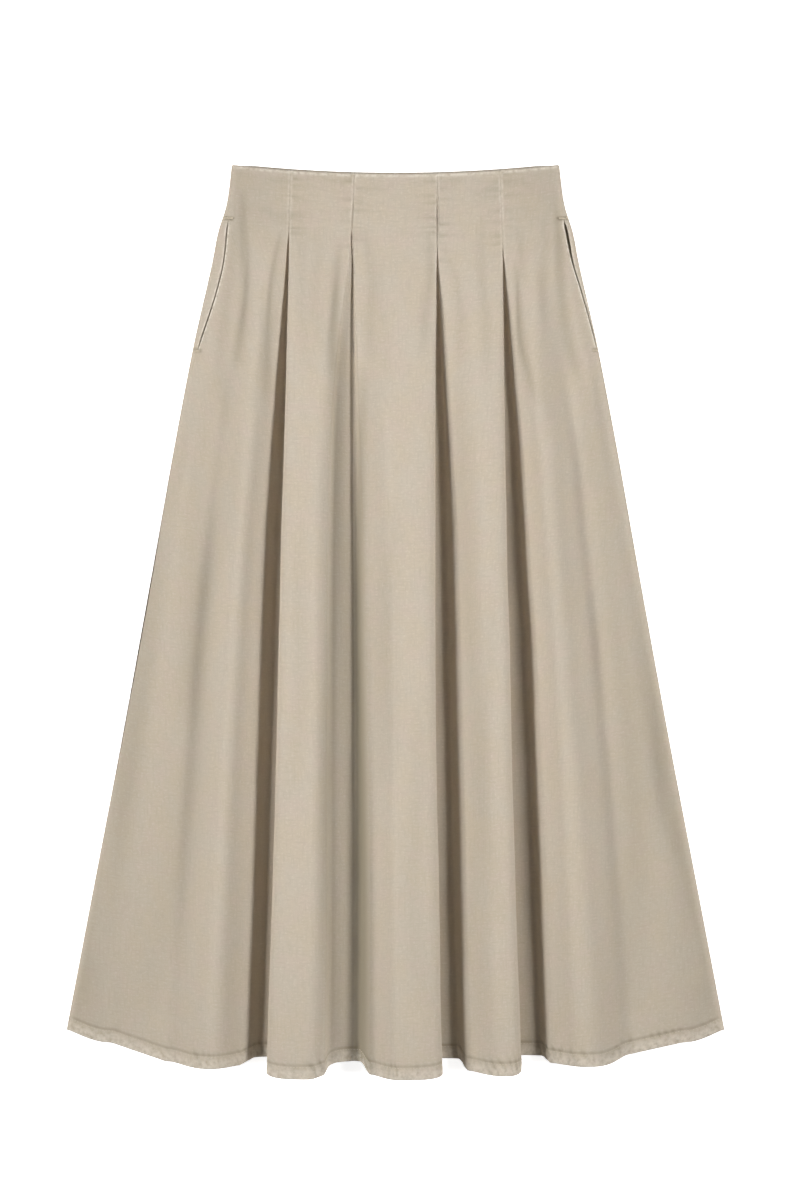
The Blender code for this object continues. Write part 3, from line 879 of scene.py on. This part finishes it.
def washed_cloth(name, beige, sand, rose, pale, shade, shadow_tone):
    """Garment-washed cotton-linen twill: matt, softly blotched, with slubs, paler where edges rub and where
    a highlight is painted, and darkened where shade is painted.
    """
    made, tree, shader = new_surface(name)
    places = add(tree, "ShaderNodeUVMap", {"uv_map": "cloth"}).outputs[0]
    warm = spread(tree, pattern(tree, places, 34, 46, 3.0, 0.55), 0.38, 0.62)
    pink = spread(tree, pattern(tree, places, 27, 22, 2.0, 0.5, 7.3), 0.48, 0.70)
    colour = blend_colours(tree, warm, linear(beige), linear(sand))
    colour = blend_colours(tree, math_node(tree, "MULTIPLY", pink, 0.55), colour, linear(rose))
    slub_across = spread(tree, pattern(tree, places, 12, 1.7, 3.0, 0.65, 3.1), 0.44, 0.72)
    slub_down = spread(tree, pattern(tree, places, 1.9, 17, 3.0, 0.65, 5.9), 0.46, 0.72)
    slubs = math_node(tree, "MAXIMUM", slub_across, slub_down)
    colour = blend_colours(tree, math_node(tree, "MULTIPLY", slubs, 0.30), colour, linear(shade))
    speckle = spread(tree, pattern(tree, places, 3.4, 2.2, 2.0, 0.7, 11.7), 0.56, 0.74)
    colour = blend_colours(tree, math_node(tree, "MULTIPLY", speckle, 0.27), colour, linear(pale))
    # Painted shade: an attribute of the mesh darkens the colour towards a shadow tone
    shade_share = add(tree, "ShaderNodeAttribute", {"attribute_name": "dye"}).outputs["Fac"]
    colour = blend_colours(tree, shade_share, colour, linear(shadow_tone))
    # Paler edges from an attribute of the mesh: rubbed wear and painted highlight
    rub_and_highlight = add(tree, "ShaderNodeAttribute", {"attribute_name": "wear"}).outputs["Fac"]
    patchy = spread(tree, pattern(tree, places, 5, 5, 3.0, 0.6, 2.2), 0.3, 0.62)
    colour = blend_colours(tree, math_node(tree, "MULTIPLY", rub_and_highlight, patchy), colour, linear(pale))
    inputs = {"Vector": places, "Rotation": (0.0, 0.0, math.radians(RIB_SLANT))}
    turned = add(tree, "ShaderNodeMapping", {"vector_type": "POINT"}, inputs).outputs[0]
    ribs = bands(tree, turned, 1000 / RIB_PITCH_MM * WAVE_SPACING, 1.2, 2.0, detail_scale=2.5)
    crinkle = pattern(tree, places, 7, 9, 4.0, 0.6, 1.3)
    height = math_node(tree, "MULTIPLY", ribs, 0.30)
    height = math_node(tree, "ADD", height, math_node(tree, "MULTIPLY", slubs, 0.55))
    height = math_node(tree, "ADD", height, math_node(tree, "MULTIPLY", crinkle, 1.5))
    looks = {"Base Color": colour, "Normal": bump(tree, height, 0.5, 0.00025)}
    looks["Roughness"] = between(tree, slubs, 0.92, 0.80)
    looks.update({"Specular IOR Level": 0.25, "Sheen Weight": 0.12, "Sheen Roughness": 0.55})
    fill(tree, shader, looks)
    return made


def sewing_thread(name, colour, shade):
    """Matt spun polyester thread, twisted: the twist is too fine to show and gives a broken tone."""
    made, tree, shader = new_surface(name)
    tone = noise(tree, add(tree, "ShaderNodeTexCoord").outputs["Object"], 1400.0, 1.0)
    colour = blend_colours(tree, tone, linear(colour), linear(shade))
    fill(tree, shader, {"Base Color": colour, "Roughness": 0.75, "Sheen Weight": 0.2})
    return made


def pocketing(name, light, dark):
    """Plain-woven cotton pocketing: a fine even weave, matt, greyer than the skirt's cloth and darker, the
    darkness being painted shade for the slits it shows through.
    """
    made, tree, shader = new_surface(name)
    places = add(tree, "ShaderNodeTexCoord").outputs["Object"]
    threads = [bands(tree, places, 420.0, 0.8, 1.0, direction) for direction in ("X", "Y")]
    weave = math_node(tree, "MULTIPLY", *threads)
    share = math_node(tree, "MULTIPLY", weave, noise(tree, places, 60.0, 3.0))
    looks = {"Base Color": blend_colours(tree, share, linear(dark), linear(light))}
    looks.update({"Normal": bump(tree, weave, 0.4, 0.0002), "Roughness": 0.9, "Sheen Weight": 0.08})
    fill(tree, shader, looks)
    return made


def zip_tape(name, light, dark):
    """Woven polyester zip tape: ribs along its length, with a slight sheen."""
    made, tree, shader = new_surface(name)
    ribs = bands(tree, add(tree, "ShaderNodeTexCoord").outputs["Object"], 260.0, 0.3, 1.0)
    looks = {"Base Color": blend_colours(tree, ribs, linear(dark), linear(light))}
    looks.update({"Normal": bump(tree, ribs, 0.5, 0.0002), "Roughness": 0.7, "Sheen Weight": 0.2})
    fill(tree, shader, looks)
    return made


def painted_zinc(name, paint, bare):
    """Cast zinc painted to match the cloth, rubbed to bare metal in small spots."""
    made, tree, shader = new_surface(name)
    tone = noise(tree, add(tree, "ShaderNodeTexCoord").outputs["Object"], 900.0, 4.0)
    chipped = spread(tree, tone, 0.62, 0.68)
    looks = {"Base Color": blend_colours(tree, chipped, linear(paint), linear(bare))}
    looks.update({"Metallic": chipped, "Roughness": between(tree, tone, 0.5, 0.32)})
    fill(tree, shader, looks)
    return made


# The pocketing's colours are darkened as painted shade in the slits
POCKETING_SURFACE = pocketing("cotton_pocketing", "8F8777", "6E675A")
TAPE_SURFACE = zip_tape("woven_polyester_zip_tape", "A3947F", "877A67")
METAL_SURFACE = painted_zinc("painted_zinc", "A99C88", "B9B9B5")
CLOTH_SURFACE = washed_cloth(
    "washed_cotton_linen_twill", "BFB4A4", "C0B3A0", "C2B2A4", "D8CFC1", "A39988", "89806D"
)
THREAD_SURFACE = sewing_thread("spun_polyester_thread", "CFC3AE", "B3A58E")


def group_input(tree, name, kind, value):
    socket = tree.interface.new_socket(name=name, in_out="INPUT", socket_type=kind)
    if value is not None:
        socket.default_value = value
    return socket.identifier


def stitch_tree():
    """Stitches laid along a polyline, one every pitch, each a small rounded bead of thread."""
    tree = bpy.data.node_groups.new("stitches_along_a_line", "GeometryNodeTree")
    names = {}
    tree.interface.new_socket(name="Geometry", in_out="INPUT", socket_type="NodeSocketGeometry")
    for name, value in (("Pitch", 0.003), ("Length", 0.0024), ("Width", 0.0005), ("Turn", 0.0)):
        names[name] = group_input(tree, name, "NodeSocketFloat", value)
    names["Seed"] = group_input(tree, "Seed", "NodeSocketInt", 1)
    names["Thread"] = group_input(tree, "Thread", "NodeSocketMaterial", None)
    tree.interface.new_socket(name="Geometry", in_out="OUTPUT", socket_type="NodeSocketGeometry")
    start = tree.nodes.new("NodeGroupInput").outputs

    def part(kind, inputs=None, output=0, **settings):
        return add(tree, kind, settings, inputs).outputs[output]

    line = part("GeometryNodeMeshToCurve", {"Mesh": start["Geometry"]})
    spaced = part("GeometryNodeResampleCurve", {"Curve": line, "Length": start["Pitch"]}, mode="LENGTH")
    tangent = part("GeometryNodeInputTangent")
    facing = part("FunctionNodeAlignRotationToVector", {"Vector": tangent}, axis="X")
    turn = part("ShaderNodeCombineXYZ", {"Z": start["Turn"]})
    inputs = {"Rotation": facing, "Rotate By": turn}
    turned = part("FunctionNodeRotateRotation", inputs, rotation_space="LOCAL")
    inputs = {"X": start["Length"], "Y": start["Width"], "Z": start["Width"]}
    size = part("ShaderNodeCombineXYZ", inputs)
    inputs = {2: 0.86, 3: 1.1, "Seed": start["Seed"]}
    uneven = part("FunctionNodeRandomValue", inputs, 1, data_type="FLOAT")
    scaled = part("ShaderNodeVectorMath", {0: size, "Scale": uneven}, operation="SCALE")
    bead = part("GeometryNodeMeshUVSphere", {"Segments": 8, "Rings": 5, "Radius": 0.5})
    inputs = {"Points": spaced, "Instance": bead, "Rotation": turned, "Scale": scaled}
    real = part("GeometryNodeRealizeInstances", {0: part("GeometryNodeInstanceOnPoints", inputs)})
    dressed = part("GeometryNodeSetMaterial", {"Geometry": real, "Material": start["Thread"]})
    end = tree.nodes.new("NodeGroupOutput")
    tree.links.new(dressed, end.inputs["Geometry"])
    return tree, names


STITCHES, STITCH_INPUTS = stitch_tree()


# Sizes of the stitches, in millimetres
Stitch = namedtuple("Stitch", "pitch length width")
HEM_STITCH = Stitch(3.1, 2.5, 0.55)
POCKET_EDGE_STITCH = Stitch(2.6, 2.0, 0.42)
BAR_TACK_STITCH = Stitch(0.5, 2.2, 0.8)
BAG_STITCH = Stitch(2.8, 2.1, 0.3)
ZIP_COIL = Stitch(1.2, 4.2, 0.55)


def sew(name, lines, stitch, seed, turn=0.0):
    """One mesh of stitches along lines of points in millimetres."""
    mesh = bpy.data.meshes.new(name + "_line")
    points = np.concatenate(lines) * MM
    edges = []
    first = 0
    for line in lines:
        edges += [(first + k, first + k + 1) for k in range(len(line) - 1)]
        first += len(line)
    mesh.from_pydata(points.tolist(), edges, [])
    line = link(name + "_line", mesh)
    nodes = line.modifiers.new("stitches", "NODES")
    nodes.node_group = STITCHES
    for key, size in zip(("Pitch", "Length", "Width"), stitch):
        nodes[STITCH_INPUTS[key]] = size * MM
    nodes[STITCH_INPUTS["Turn"]] = float(turn)
    nodes[STITCH_INPUTS["Seed"]] = seed
    nodes[STITCH_INPUTS["Thread"]] = THREAD_SURFACE
    shown = line.evaluated_get(bpy.context.evaluated_depsgraph_get())
    sewn = bpy.data.meshes.new_from_object(shown)
    sewn.name = name
    sewn.shade_smooth()
    made = link(name, sewn)
    bpy.data.objects.remove(line)
    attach(made, BODY)
    return made


def line_across(grid, normals, down, lift):
    """Points across a grid at a distance down, lifted off the cloth."""
    at = np.searchsorted(SHARES, down / HEM_CORNER_DOWN) - 1
    t = (down / HEM_CORNER_DOWN - SHARES[at]) / (SHARES[at + 1] - SHARES[at])
    points = grid[at] * (1 - t) + grid[at + 1] * t
    return points + normals[at] * lift


def line_beside_edge(grid, normals, column, inward, down1, down2, lift):
    """Points that run down beside a grid's first (0) or last (-1) column, inward from it."""
    points = []
    for r in range(len(grid)):
        down = SHARES[r] * HEM_CORNER_DOWN
        if down1 <= down <= down2:
            row = grid[r] if column == 0 else grid[r][::-1]
            facing = normals[r] if column == 0 else normals[r][::-1]
            steps = np.cumsum(np.linalg.norm(np.diff(row, axis=0), axis=1))
            k = int(np.searchsorted(steps, inward))
            before = steps[k - 1] if k > 0 else 0
            t = (inward - before) / (steps[k] - before)
            points.append(row[k] * (1 - t) + row[k + 1] * t + facing[k] * lift)
    return np.array(points)


def dress(piece, node, flat, area, rests_on, with_pieces):
    stand_for(piece, node)


SLIT_SHADE = 0.2
# Painted shade in the hollows of the puckers
PUCKER_SHADE = 0.65
# A pale band along the hem's edge: rubbed wear and painted highlight
HEM_RUB_AND_HIGHLIGHT = 0.55
HEM_RUB_AND_HIGHLIGHT_WIDTH = 9
CALM_EDGE = 6
FRONT_CUT = ((1.06, 0.93), 0.68)
BACK_CUT = ((0.36, 0.92), 0.25)
HEM_STITCH_DOWN = HEM_CORNER_DOWN - HEM_STITCH_IN


def row_places(across):
    """Share, distance down and distance to the hem's edge, of the row that each point is in."""
    share = SHARES[:, None] + across * 0
    return share, share * HEM_CORNER_DOWN, HEM_CORNER_DOWN * (1 - SHARES)[:, None] + across * 0


def slit_mask(row_down):
    start = smooth_mask(row_down, SLIT_TOP - 2, SLIT_TOP + 4)
    return start * (1 - smooth_mask(row_down, SLIT_BOTTOM - 4, SLIT_BOTTOM + 2))


def sew_hem(name, grid, normals, lift, seed):
    line = line_across(grid, normals, HEM_STITCH_DOWN, lift)
    return sew(name, [line], HEM_STITCH, seed)


def make_front():
    outer, inner = cloth_grids(front_section)
    normals = normals_of(outer)
    across, down = cloth_places(outer)
    share, row_down, to_edge = row_places(across)
    pressed = creases(outer, FRONT_CREASES)
    puckers = seam_puckers(outer, 40) + hem_roping(across, to_edge, 50)
    lift = pressed + puckers
    lift += cloth_waves(across, down, 60) * smooth_mask(share, 0, 0.06)
    lift -= band(to_edge, HEM_GROOVE)
    calm = np.minimum(1, np.minimum(edge_distance(outer), CALM_EDGE) / CALM_EDGE)
    lift *= calm
    outer = outer + normals * lift[:, :, None]
    inner = inner + normals * lift[:, :, None]
    slit = slit_mask(row_down)
    from_side = edge_distance(outer)
    # Pale rubbed edges at the hem, the slits and the waist, partly painted highlight
    wear = HEM_RUB_AND_HIGHLIGHT * np.exp(-((to_edge / HEM_RUB_AND_HIGHLIGHT_WIDTH) ** 4)) + band(from_side, FRONT_SLIT_RUB_AND_HIGHLIGHT) * slit
    wear += band(row_down, WAIST_RUB_AND_HIGHLIGHT)
    # Painted shade: broad tone, creases, folds, pucker hollows and a line along the hem's turning
    dye = painted_shade_map(outer, pressed) + PUCKER_SHADE * np.clip(-puckers, 0, 1) + band(to_edge, HEM_LINE_SHADE)
    # Painted shade in the slits and beside the bar tacks, with no pale edge right at a slit
    wear = np.clip(wear + pleat_edge_rub_and_highlight(outer), 0, 2) * (from_side > SLIT_SHADE)
    dye = np.clip(dye * calm + slit * (from_side < SLIT_SHADE) + tack_shade(outer), 0, 1)
    tones = {"wear": (wear, wear), "dye": (dye, dye)}
    front = shell("front_cloth", outer, inner, 1, (across, down), tones, CLOTH_SURFACE)
    normals = normals_of(outer)
    sewn = [sew_hem("front_hem_stitches", outer, normals, 0.12, 1)]
    for name, column in (("left", 0), ("right", -1)):
        line = line_beside_edge(outer, normals, column, 2.0, SLIT_TOP, SLIT_BOTTOM, 0.1)
        sewn.append(sew(f"pocket_edge_stitches_{name}", [line], POCKET_EDGE_STITCH, 3))
        sewn.append(bar_tacks(f"pocket_bar_tacks_{name}", outer, column))
    dress(front, "front_panel", *FRONT_CUT, ["back_cloth_left", "back_cloth_right"], sewn)


def pleat_edge_rub_and_highlight(grid):
    """Paler lines beside the stitched pleats and on down the tops of their lips: rubbed wear and painted
    highlight.
    """
    x = grid[:, :, 0]
    down = WAIST_Y - grid[:, :, 1]
    total = np.zeros(x.shape)
    for valley in VALLEYS:
        line = stitched_line(valley, down)
        fade = 1 - smooth_mask(down, valley.release + 10, valley.release + 60)
        ragged = 0.75 + 0.35 * soft_noise(down / 7, down * 0, 9)
        total += 0.5 * ragged * np.exp(-((np.abs(x - line) - 1.3) ** 2) / 1.3) * fade
    return total


TACK_HALF = 4.2
TACK_LIFT = 0.9
TACK_PLACES = (SLIT_TOP - 1.5, SLIT_BOTTOM + 1.0)


def tack_shade(grid):
    """Painted shade just above and below a pocket's bar tacks."""
    down = SHARES[:, None] * HEM_CORNER_DOWN
    near = np.exp(-((edge_distance(grid) / (TACK_HALF + 1)) ** 6))
    return sum(0.6 * np.exp(-((np.abs(down - place) - 1.2) ** 2)) * near for place in TACK_PLACES)


def bar_tacks(name, grid, column):
    """Two dense bars of thread across the ends of a pocket's slit."""
    lines = []
    for down in TACK_PLACES:
        row = grid[int(np.searchsorted(SHARES, down / HEM_CORNER_DOWN))]
        x, y, z = row[column]
        limit = half_width(down) - TACK_HALF - 0.6
        x = min(max(x, -limit), limit)
        steps = np.linspace(-TACK_HALF, TACK_HALF, 7)
        lines.append(np.array([(x + step, y, z + TACK_LIFT) for step in steps]))
    return sew(name, lines, BAR_TACK_STITCH, 5, math.pi / 2)


def make_back(name, node, side, seed):
    outer, inner = cloth_grids(lambda share, inset: back_section(side, share, inset))
    turn = side.sign
    normals = normals_of(outer) * turn
    across, down = cloth_places(outer)
    share, row_down, to_edge = row_places(across)
    under = smooth_mask(-normals[:, :, 2], 0.9, 1.0)
    pressed = 0.16 * (1 + soft_noise(across / 24, down / 70, seed)) * under
    pressed += 0.10 * (1 + soft_noise(across / 7, down / 12, seed + 1)) * under
    folds = creases(outer, BACK_CREASES) * under
    lift = (folds - pressed) * smooth_mask(share, 0, 0.02) * smooth_mask(to_edge, 0, 12)
    outer = outer + normals * lift[:, :, None]
    inner = inner + normals * lift[:, :, None]
    # Pale rubbed edges at the hem, the waist and the slits, partly painted highlight
    wear = np.clip(0.7 * np.exp(-to_edge / 1.8) + 0.6 * np.exp(-row_down / 1.8), 0, 1)
    from_side = edge_distance(outer)
    wear = wear + band(from_side, BACK_SLIT_RUB_AND_HIGHLIGHT) * slit_mask(row_down)
    wear = wear * (from_side > SLIT_SHADE)
    # Painted shade along the hem's turning, at the bar tacks' heights near the edges and in the back's
    # creases
    dye = band(to_edge, HEM_LINE_SHADE) + tack_shade(outer) - 0.3 * folds
    # Painted shadow on the inner face near the waist, which also takes the pale edge away there
    shaded = np.clip(dye + np.exp(-((row_down / 7) ** 4)), 0, 1)
    tones = {"wear": (wear, wear * (1 - shaded)), "dye": (np.clip(dye, 0, 1), shaded)}
    back = shell(name, outer, inner, turn, (across, down), tones, CLOTH_SURFACE)
    stitches = sew_hem(name.replace("cloth", "hem_stitches"), outer, normals, -0.1, seed)
    dress(back, node, *BACK_CUT, ["floor"], [stitches])


BagPoint = namedtuple("BagPoint", "x down")
POCKET_BAG = (
    BagPoint(-163.0, 58),
    BagPoint(-110.0, 62),
    BagPoint(-72.0, 110),
    BagPoint(-66.0, 200),
    BagPoint(-84.0, 292),
    BagPoint(-128.0, 318),
    BagPoint(-172.0, 290),
    BagPoint(-192.0, 176),
    BagPoint(-176.0, 112),
)
BAG_BOTTOM = 1.5
BAG_THICK = 1.3
BAG_RINGS = (1.0, 0.985, 0.955, 0.9, 0.78, 0.6, 0.4, 0.2)
BAG_PUFF = (0.0, 0.55, 0.62, 0.8, 0.95, 1.0, 0.97, 0.92)


def smooth_loop(points, steps):
    """A closed smooth curve through points."""
    near = [np.roll(points, -k, axis=0) for k in (-1, 0, 1, 2)]
    rows = [on_curve(*near, k / steps) for k in range(steps)]
    return np.stack(rows, axis=1).reshape(-1, 2)


def place_mesh(name, bm, node, surface):
    """A finished piece of a bmesh, in place of a node of the frame."""
    bmesh.ops.recalc_face_normals(bm, faces=bm.faces[:])
    mesh = bpy.data.meshes.new(name)
    bm.to_mesh(mesh)
    bm.free()
    mesh.materials.append(surface)
    mesh.shade_smooth()
    return stand_for(link(name, mesh), node)


def make_pocket_bag(name, node, sign):
    """A bag of two layers of thin cotton, flat where its seam runs and a little full in the middle."""
    points = np.array([(-sign * row.x, WAIST_Y - row.down) for row in POCKET_BAG])
    outline = smooth_loop(points, 12)
    centre = outline.mean(axis=0)
    count = len(outline)
    bm = bmesh.new()
    middle = BAG_BOTTOM + BAG_THICK / 2
    layers = []
    for up in (1, -1):
        rings = []
        for k, (scale, puff) in enumerate(zip(BAG_RINGS, BAG_PUFF)):
            if k == 0 and up < 0:
                rings.append(layers[0][0])
                continue
            ring_points = centre + (outline - centre) * scale
            wave = 1 - 0.12 * (1 + soft_noise(ring_points[:, 0] / 14, ring_points[:, 1] / 19, 7))
            heights = middle + up * BAG_THICK / 2 * puff * wave
            places = zip(ring_points, heights)
            rings.append([bm.verts.new((x * MM, y * MM, z * MM)) for (x, y), z in places])
        layers.append(rings)
        top = bm.verts.new((centre[0] * MM, centre[1] * MM, (middle + up * BAG_THICK / 2 * 0.9) * MM))
        for outer_ring, inner_ring in zip(rings, rings[1:]):
            for i in range(count):
                j = (i + 1) % count
                bm.faces.new((outer_ring[i], outer_ring[j], inner_ring[j], inner_ring[i]))
        for i in range(count):
            bm.faces.new((rings[-1][i], rings[-1][(i + 1) % count], top))
    bag = place_mesh(name, bm, node, POCKETING_SURFACE)
    seam = smooth_loop(centre + (points - centre) * 0.955, 12)
    line = np.column_stack([seam, np.full(len(seam), BAG_BOTTOM + BAG_THICK - 0.3)])
    line = np.concatenate([line, line[:1]])
    stitches = sew(name + "_stitches", [line], BAG_STITCH, 11)


ZIP_LENGTH = 200.0
ZIP_TAPE_THICK = 0.8
ZIP_TOP_INSET = 8.0
ZIP_TOP = WAIST_Y - FRONT_WAIST_DIP + BACK_WAIST_RISE - ZIP_TOP_INSET
TAPE_BOTTOM = 1.5
TAPE_TOP = TAPE_BOTTOM + ZIP_TAPE_THICK
# One half of the tape from the coil outwards: across, and the share of its thickness
TAPE_PROFILE = (
    (0.5, 0.3), (0.8, 0.8), (1.6, 1.0), (2.6, 0.8), (3.2, 0.5), (10.8, 0.5), (11.5, 0.8), (12, 0.5)
)
SLIDER_BOTTOM = 2.6
SLIDER_THICK = 1.1
SLIDER_WIDTH = 6.0
SLIDER_LENGTH = 10.0
TAB_WIDTH = 3.6
TAB_LENGTH = 14.0
SLIDER_HOLE = (1.2, 2.6)
TAB_HOLE = (1.7, 5.0)
SHARP_ANGLE = 40
ROUND_COUNT = 32


def place_small_part(name, bm, node, surface):
    made = place_mesh(name, bm, node, surface)
    made.data.set_sharp_from_angle(angle=math.radians(SHARP_ANGLE))
    return made


def round_box(centre_x, centre_y, width, length, power, count):
    """Outline of a rectangle with rounded corners; a higher power makes them tighter."""
    points = []
    for k in range(count):
        angle = 2 * math.pi * k / count
        c, s = math.cos(angle), math.sin(angle)
        x = math.copysign(abs(c) ** (2 / power), c) * width / 2
        y = math.copysign(abs(s) ** (2 / power), s) * length / 2
        points.append((centre_x + x, centre_y + y))
    return points


def add_rounded_slab(bm, outline, hole, bottom, thickness, round_edge):
    """A slab with softened edges between an outline and a hole with as many points."""
    centre = np.mean(outline, axis=0)
    top = thickness - round_edge
    steps = ((0.0, round_edge), (round_edge, 0.0), (top, 0.0), (thickness, round_edge))
    loops = []
    for shape, way in ((outline, -1), (hole, 1)):
        for height, inset in steps if way < 0 else steps[::-1]:
            loop = []
            for point in shape:
                off = np.array(point) - centre
                off = off * (1 + way * inset / max(np.linalg.norm(off), 1e-6))
                x, y = centre + off
                loop.append(bm.verts.new((x * MM, y * MM, (bottom + height) * MM)))
            loops.append(loop)
    loops.append(loops[0])
    for first, second in zip(loops, loops[1:]):
        for i in range(len(outline)):
            j = (i + 1) % len(outline)
            bm.faces.new((first[i], first[j], second[j], second[i]))


def make_zip():
    bm = bmesh.new()
    for sign in (-1, 1):
        thick = ZIP_TAPE_THICK
        profile = [(sign * x, TAPE_BOTTOM + thick * (0.5 + share / 2)) for x, share in TAPE_PROFILE]
        under = TAPE_PROFILE[::-1]
        profile += [(sign * x, TAPE_BOTTOM + thick * (1 - share) / 2) for x, share in under]
        ends = []
        for y in (ZIP_TOP, ZIP_TOP - ZIP_LENGTH):
            ends.append([bm.verts.new((x * MM, y * MM, z * MM)) for x, z in profile])
        for i in range(len(profile)):
            j = (i + 1) % len(profile)
            bm.faces.new((ends[0][i], ends[0][j], ends[1][j], ends[1][i]))
        bm.faces.new(ends[0])
        bm.faces.new(ends[1])
    tape = place_small_part("zip_tape_woven", bm, "zip_tape", TAPE_SURFACE)
    coil_z = TAPE_TOP - 0.1
    line = np.array([(0.0, ZIP_TOP - 1.0, coil_z), (0.0, ZIP_TOP - ZIP_LENGTH + 4.0, coil_z)])
    coil = sew("zip_coil", [line], ZIP_COIL, 21, math.pi / 2)
    bm = bmesh.new()
    body_y = ZIP_TOP - SLIDER_LENGTH / 2
    body = round_box(0, body_y, SLIDER_WIDTH, SLIDER_LENGTH, 3.2, ROUND_COUNT)
    opening_of_body = round_box(0, body_y + 1.5, *SLIDER_HOLE, 2.4, ROUND_COUNT)
    add_rounded_slab(bm, body, opening_of_body, SLIDER_BOTTOM, SLIDER_THICK, 0.3)
    tab_y = ZIP_TOP - SLIDER_LENGTH - TAB_LENGTH / 2
    tab = round_box(0, tab_y + 0.4, TAB_WIDTH, TAB_LENGTH + 0.8, 3.6, ROUND_COUNT)
    hole = round_box(0, tab_y - 3.2, *TAB_HOLE, 2.6, ROUND_COUNT)
    add_rounded_slab(bm, tab, hole, SLIDER_BOTTOM + 0.15, SLIDER_THICK - 0.35, 0.2)
    place_small_part("zip_slider_cast", bm, "zip_slider", METAL_SURFACE)


BOARD_GLOW = 0.8


FLOOR_HALF = 4.0
FLOOR_Z = -0.0004


def make_stage():
    mesh = bpy.data.meshes.new("floor")
    corners = [(x * FLOOR_HALF, y * FLOOR_HALF, FLOOR_Z) for x, y in ((-1, -1), (1, -1), (1, 1), (-1, 1))]
    mesh.from_pydata(corners, [], [(0, 1, 2, 3)])
    made, tree, shader = new_surface("matt_white_board")
    # The camera alone sees the board a little brighter, as on a cut-out background
    seen = add(tree, "ShaderNodeLightPath").outputs["Is Camera Ray"]
    looks = {"Base Color": linear("F4F3F1"), "Roughness": 0.95, "Specular IOR Level": 0.1}
    looks["Emission Color"] = linear("FFFFFF")
    looks["Emission Strength"] = math_node(tree, "MULTIPLY", seen, BOARD_GLOW)
    fill(tree, shader, looks)
    mesh.materials.append(made)
    link("floor", mesh)


def softbox(name, azimuth, elevation, distance, size, spread, power):
    """A rectangular light with a grid, facing the skirt; azimuth 0 is +X, 90 is +Y, in degrees."""
    data = bpy.data.lights.new(name, "AREA")
    data.shape = "RECTANGLE"
    data.size, data.size_y = size
    data.energy = power
    data.spread = math.radians(spread)
    lamp = link(name, data)
    turn, rise_angle = math.radians(azimuth), math.radians(elevation)
    flat = distance * math.cos(rise_angle)
    lamp.location = (flat * math.cos(turn), flat * math.sin(turn), distance * math.sin(rise_angle))
    lamp.rotation_euler = lamp.location.to_track_quat("Z", "Y").to_euler()


def make_light():
    softbox("left_softbox", 178, 37, 3.2, (1.5, 1.0), 20, 4.5)
    softbox("right_softbox", 2, 37, 3.2, (1.5, 1.0), 20, 3.9)
    world = bpy.data.worlds.new("studio")
    world.use_nodes = True
    background = world.node_tree.nodes["Background"]
    background.inputs["Color"].default_value = linear("FFFFFF")
    background.inputs["Strength"].default_value = 0.13
    bpy.context.scene.world = world
    bpy.context.scene.view_settings.view_transform = "Standard"


# The photo is 1200 pixels high and shows 1.2 m; its centre is at this place on the skirt, in metres
PHOTO_CENTRE = (0.0045, 0.02025)
CAMERA_HEIGHT = 4.0
PHOTO_HEIGHT = 1.2
SENSOR = 36.0


def make_camera():
    data = bpy.data.cameras.new("camera")
    data.sensor_width = SENSOR
    data.lens = SENSOR * CAMERA_HEIGHT / PHOTO_HEIGHT
    camera = link("camera", data)
    camera.location = (*PHOTO_CENTRE, CAMERA_HEIGHT)
    bpy.context.scene.camera = camera


make_stage()
make_back("back_cloth_left", "back_left", SIDES[0], 70)
make_back("back_cloth_right", "back_right", SIDES[1], 80)
make_front()
make_pocket_bag("pocketing_left", "pocket_bag_left", -1)
make_pocket_bag("pocketing_right", "pocket_bag_right", 1)
make_zip()
make_light()
make_camera()
